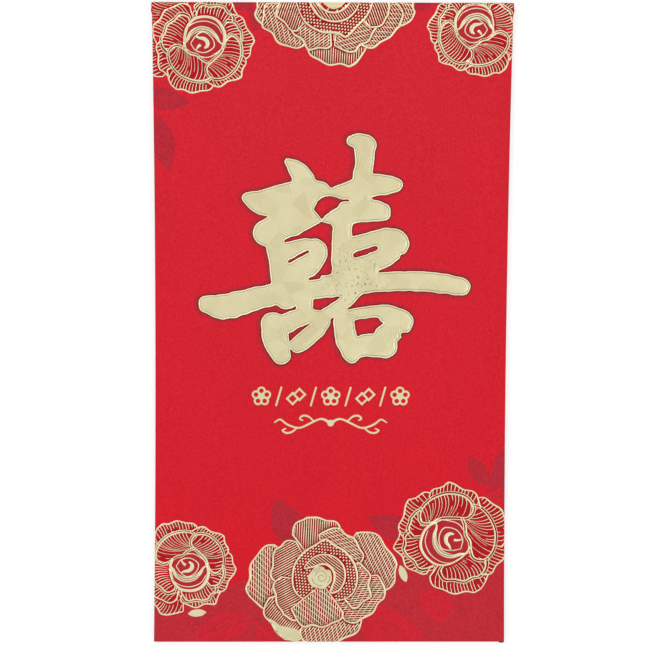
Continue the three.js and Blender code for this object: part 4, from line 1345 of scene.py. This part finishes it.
veins = [  # on the dark leaves and on the bright ones: points of x, y and width
    ([(-44.4, 49.8, 0.15), (-43.8, 47, 0.35), (-42.6, 44.2, 0.2)], False),
    ([(-46, 58.8, 0.3), (-42, 58.6, 0.4), (-38.4, 57.9, 0.15)], False),
    ([(-13.4, -46.6, 0.15), (-11.2, -50.4, 0.4), (-8.6, -54.4, 0.3)], False),
    ([(-10.6, -51.2, 0.3), (-8.8, -51.4, 0.25), (-7, -52.2, 0.15)], False),
    ([(36.6, -34.8, 0.15), (38.8, -37.4, 0.35), (40.6, -39.8, 0.25)], False),
    ([(11.2, -49.9, 0.15), (14.4, -51, 0.35), (17.6, -53.4, 0.3)], False),
    ([(-33.4, -80.4, 0.2), (-29, -78.8, 0.5), (-25, -77.8, 0.45), (-20.6, -76.4, 0.3), (-16, -75.8, 0.15)],
     True),
    ([(-30.4, -79, 0.15), (-28, -77, 0.4), (-24.6, -75.6, 0.15)], True),
    ([(10.6, -75.8, 0.3), (14.6, -77.2, 0.5), (19.6, -79.8, 0.2)], True),
    ([(13.4, -77, 0.2), (14.6, -79.6, 0.4), (17.4, -81.4, 0.15)], True),
    ([(24.8, -70.2, 0.2), (27.2, -72.4, 0.45), (28.4, -75.4, 0.2)], True),
    ([(46, -43.9, 0.4), (43.4, -43.7, 0.4), (41, -43.7, 0.15)], True),
]
inkPlate("wash", [closedCurve(washOutline)], lifts["wash"], washInk)
for name, outline in leafOutlines.items():
    inkPlate(name, [closedCurve(outline)], lifts["wash"] + 0.004, darkInkAndShadow)
for name, outline in brightLeaves.items():
    inkPlate(name, [closedCurve(outline)], lifts["leaf"], paleInk)
for dark, material, title in ((False, paleInk, "pale_veins"), (True, darkInkAndShadow, "dark_veins")):
    lines = clipped([smoothPath(points) for points, onBright in veins if onBright == dark], [])
    printLines(title, lines, lifts["wash"], lifts["leaf"] + 0.006, material, "card")
print("ink printed")


# Floor, light and camera

studio = {"floor": 0.6, "floorColor": (0.9, 0.9, 0.9), "seenColor": (0.42, 0.42, 0.42), "seenGlow": 0.64,
          "world": 0.85}
lamps = {"key": ((-0.55, 0.75, 0.9), 0.5, 2.5), "fill": ((0.8, -0.3, 1.1), 0.7, 1.2)}  # place, size and power
camera = {"place": (-22.01, 204.32, 986.65), "turn": (-11.682, -1.128, 0.307), "focus": 3981, "picture": 650}


def makeFloor():  # pale for the light it sends back, and white to the eye but for a faint shadow
    clearSelection()
    bpy.ops.mesh.primitive_plane_add(size=studio["floor"] * 2, location=(0, 0, -0.0001))
    floor = bpy.context.object
    floor.name = "floor"
    material, tree, shader = newMaterial("pale floor", studio["floorColor"], 0.9, specular=0.1)
    glow = addNode(tree, "ShaderNodeEmission", Strength=studio["seenGlow"])
    soft = addNode(tree, "ShaderNodeBsdfDiffuse", Color=(*studio["seenColor"], 1))
    path = addNode(tree, "ShaderNodeLightPath")
    seen = path.outputs["Is Camera Ray"]
    for ray in ("Is Glossy Ray", "Is Transmission Ray"):
        either = addNode(tree, "ShaderNodeMath", operation="MAXIMUM", Value=seen)
        tree.links.new(path.outputs[ray], either.inputs[1])
        seen = either.outputs[0]
    both = addNode(tree, "ShaderNodeAddShader")
    pick = addNode(tree, "ShaderNodeMixShader", Fac=seen)
    tree.links.new(soft.outputs[0], both.inputs[0])
    tree.links.new(glow.outputs[0], both.inputs[1])
    tree.links.new(shader.outputs[0], pick.inputs[1])
    tree.links.new(both.outputs[0], pick.inputs[2])
    tree.links.new(pick.outputs[0], tree.nodes["Material Output"].inputs["Surface"])
    floor.data.materials.append(material)


def addLamp(name, spot, size, power):
    lamp = bpy.data.lights.new(name, "AREA")
    lamp.shape = "DISK"
    lamp.size = size
    lamp.energy = power
    holder = linked(name, lamp)
    holder.location = spot
    holder.rotation_euler = (-Vector(spot)).to_track_quat("-Z", "Y").to_euler()


def makeStudio():
    world = bpy.data.worlds.new("studio")
    world.use_nodes = True
    world.node_tree.nodes["Background"].inputs["Color"].default_value = (1, 1, 1, 1)
    world.node_tree.nodes["Background"].inputs["Strength"].default_value = studio["world"]
    bpy.context.scene.world = world
    for name, lamp in lamps.items():
        addLamp(name, *lamp)
    view = bpy.data.cameras.new("camera")
    view.sensor_width = 36
    view.lens = camera["focus"] / camera["picture"] * view.sensor_width
    eye = linked("camera", view)
    eye.location = Vector(camera["place"]) * mm
    eye.rotation_euler = [math.radians(turn) for turn in camera["turn"]]
    bpy.context.scene.camera = eye
    bpy.context.scene.view_settings.view_transform = "Standard"


makeFloor()
makeStudio()
print("studio lit")

bpy.context.view_layer.update()
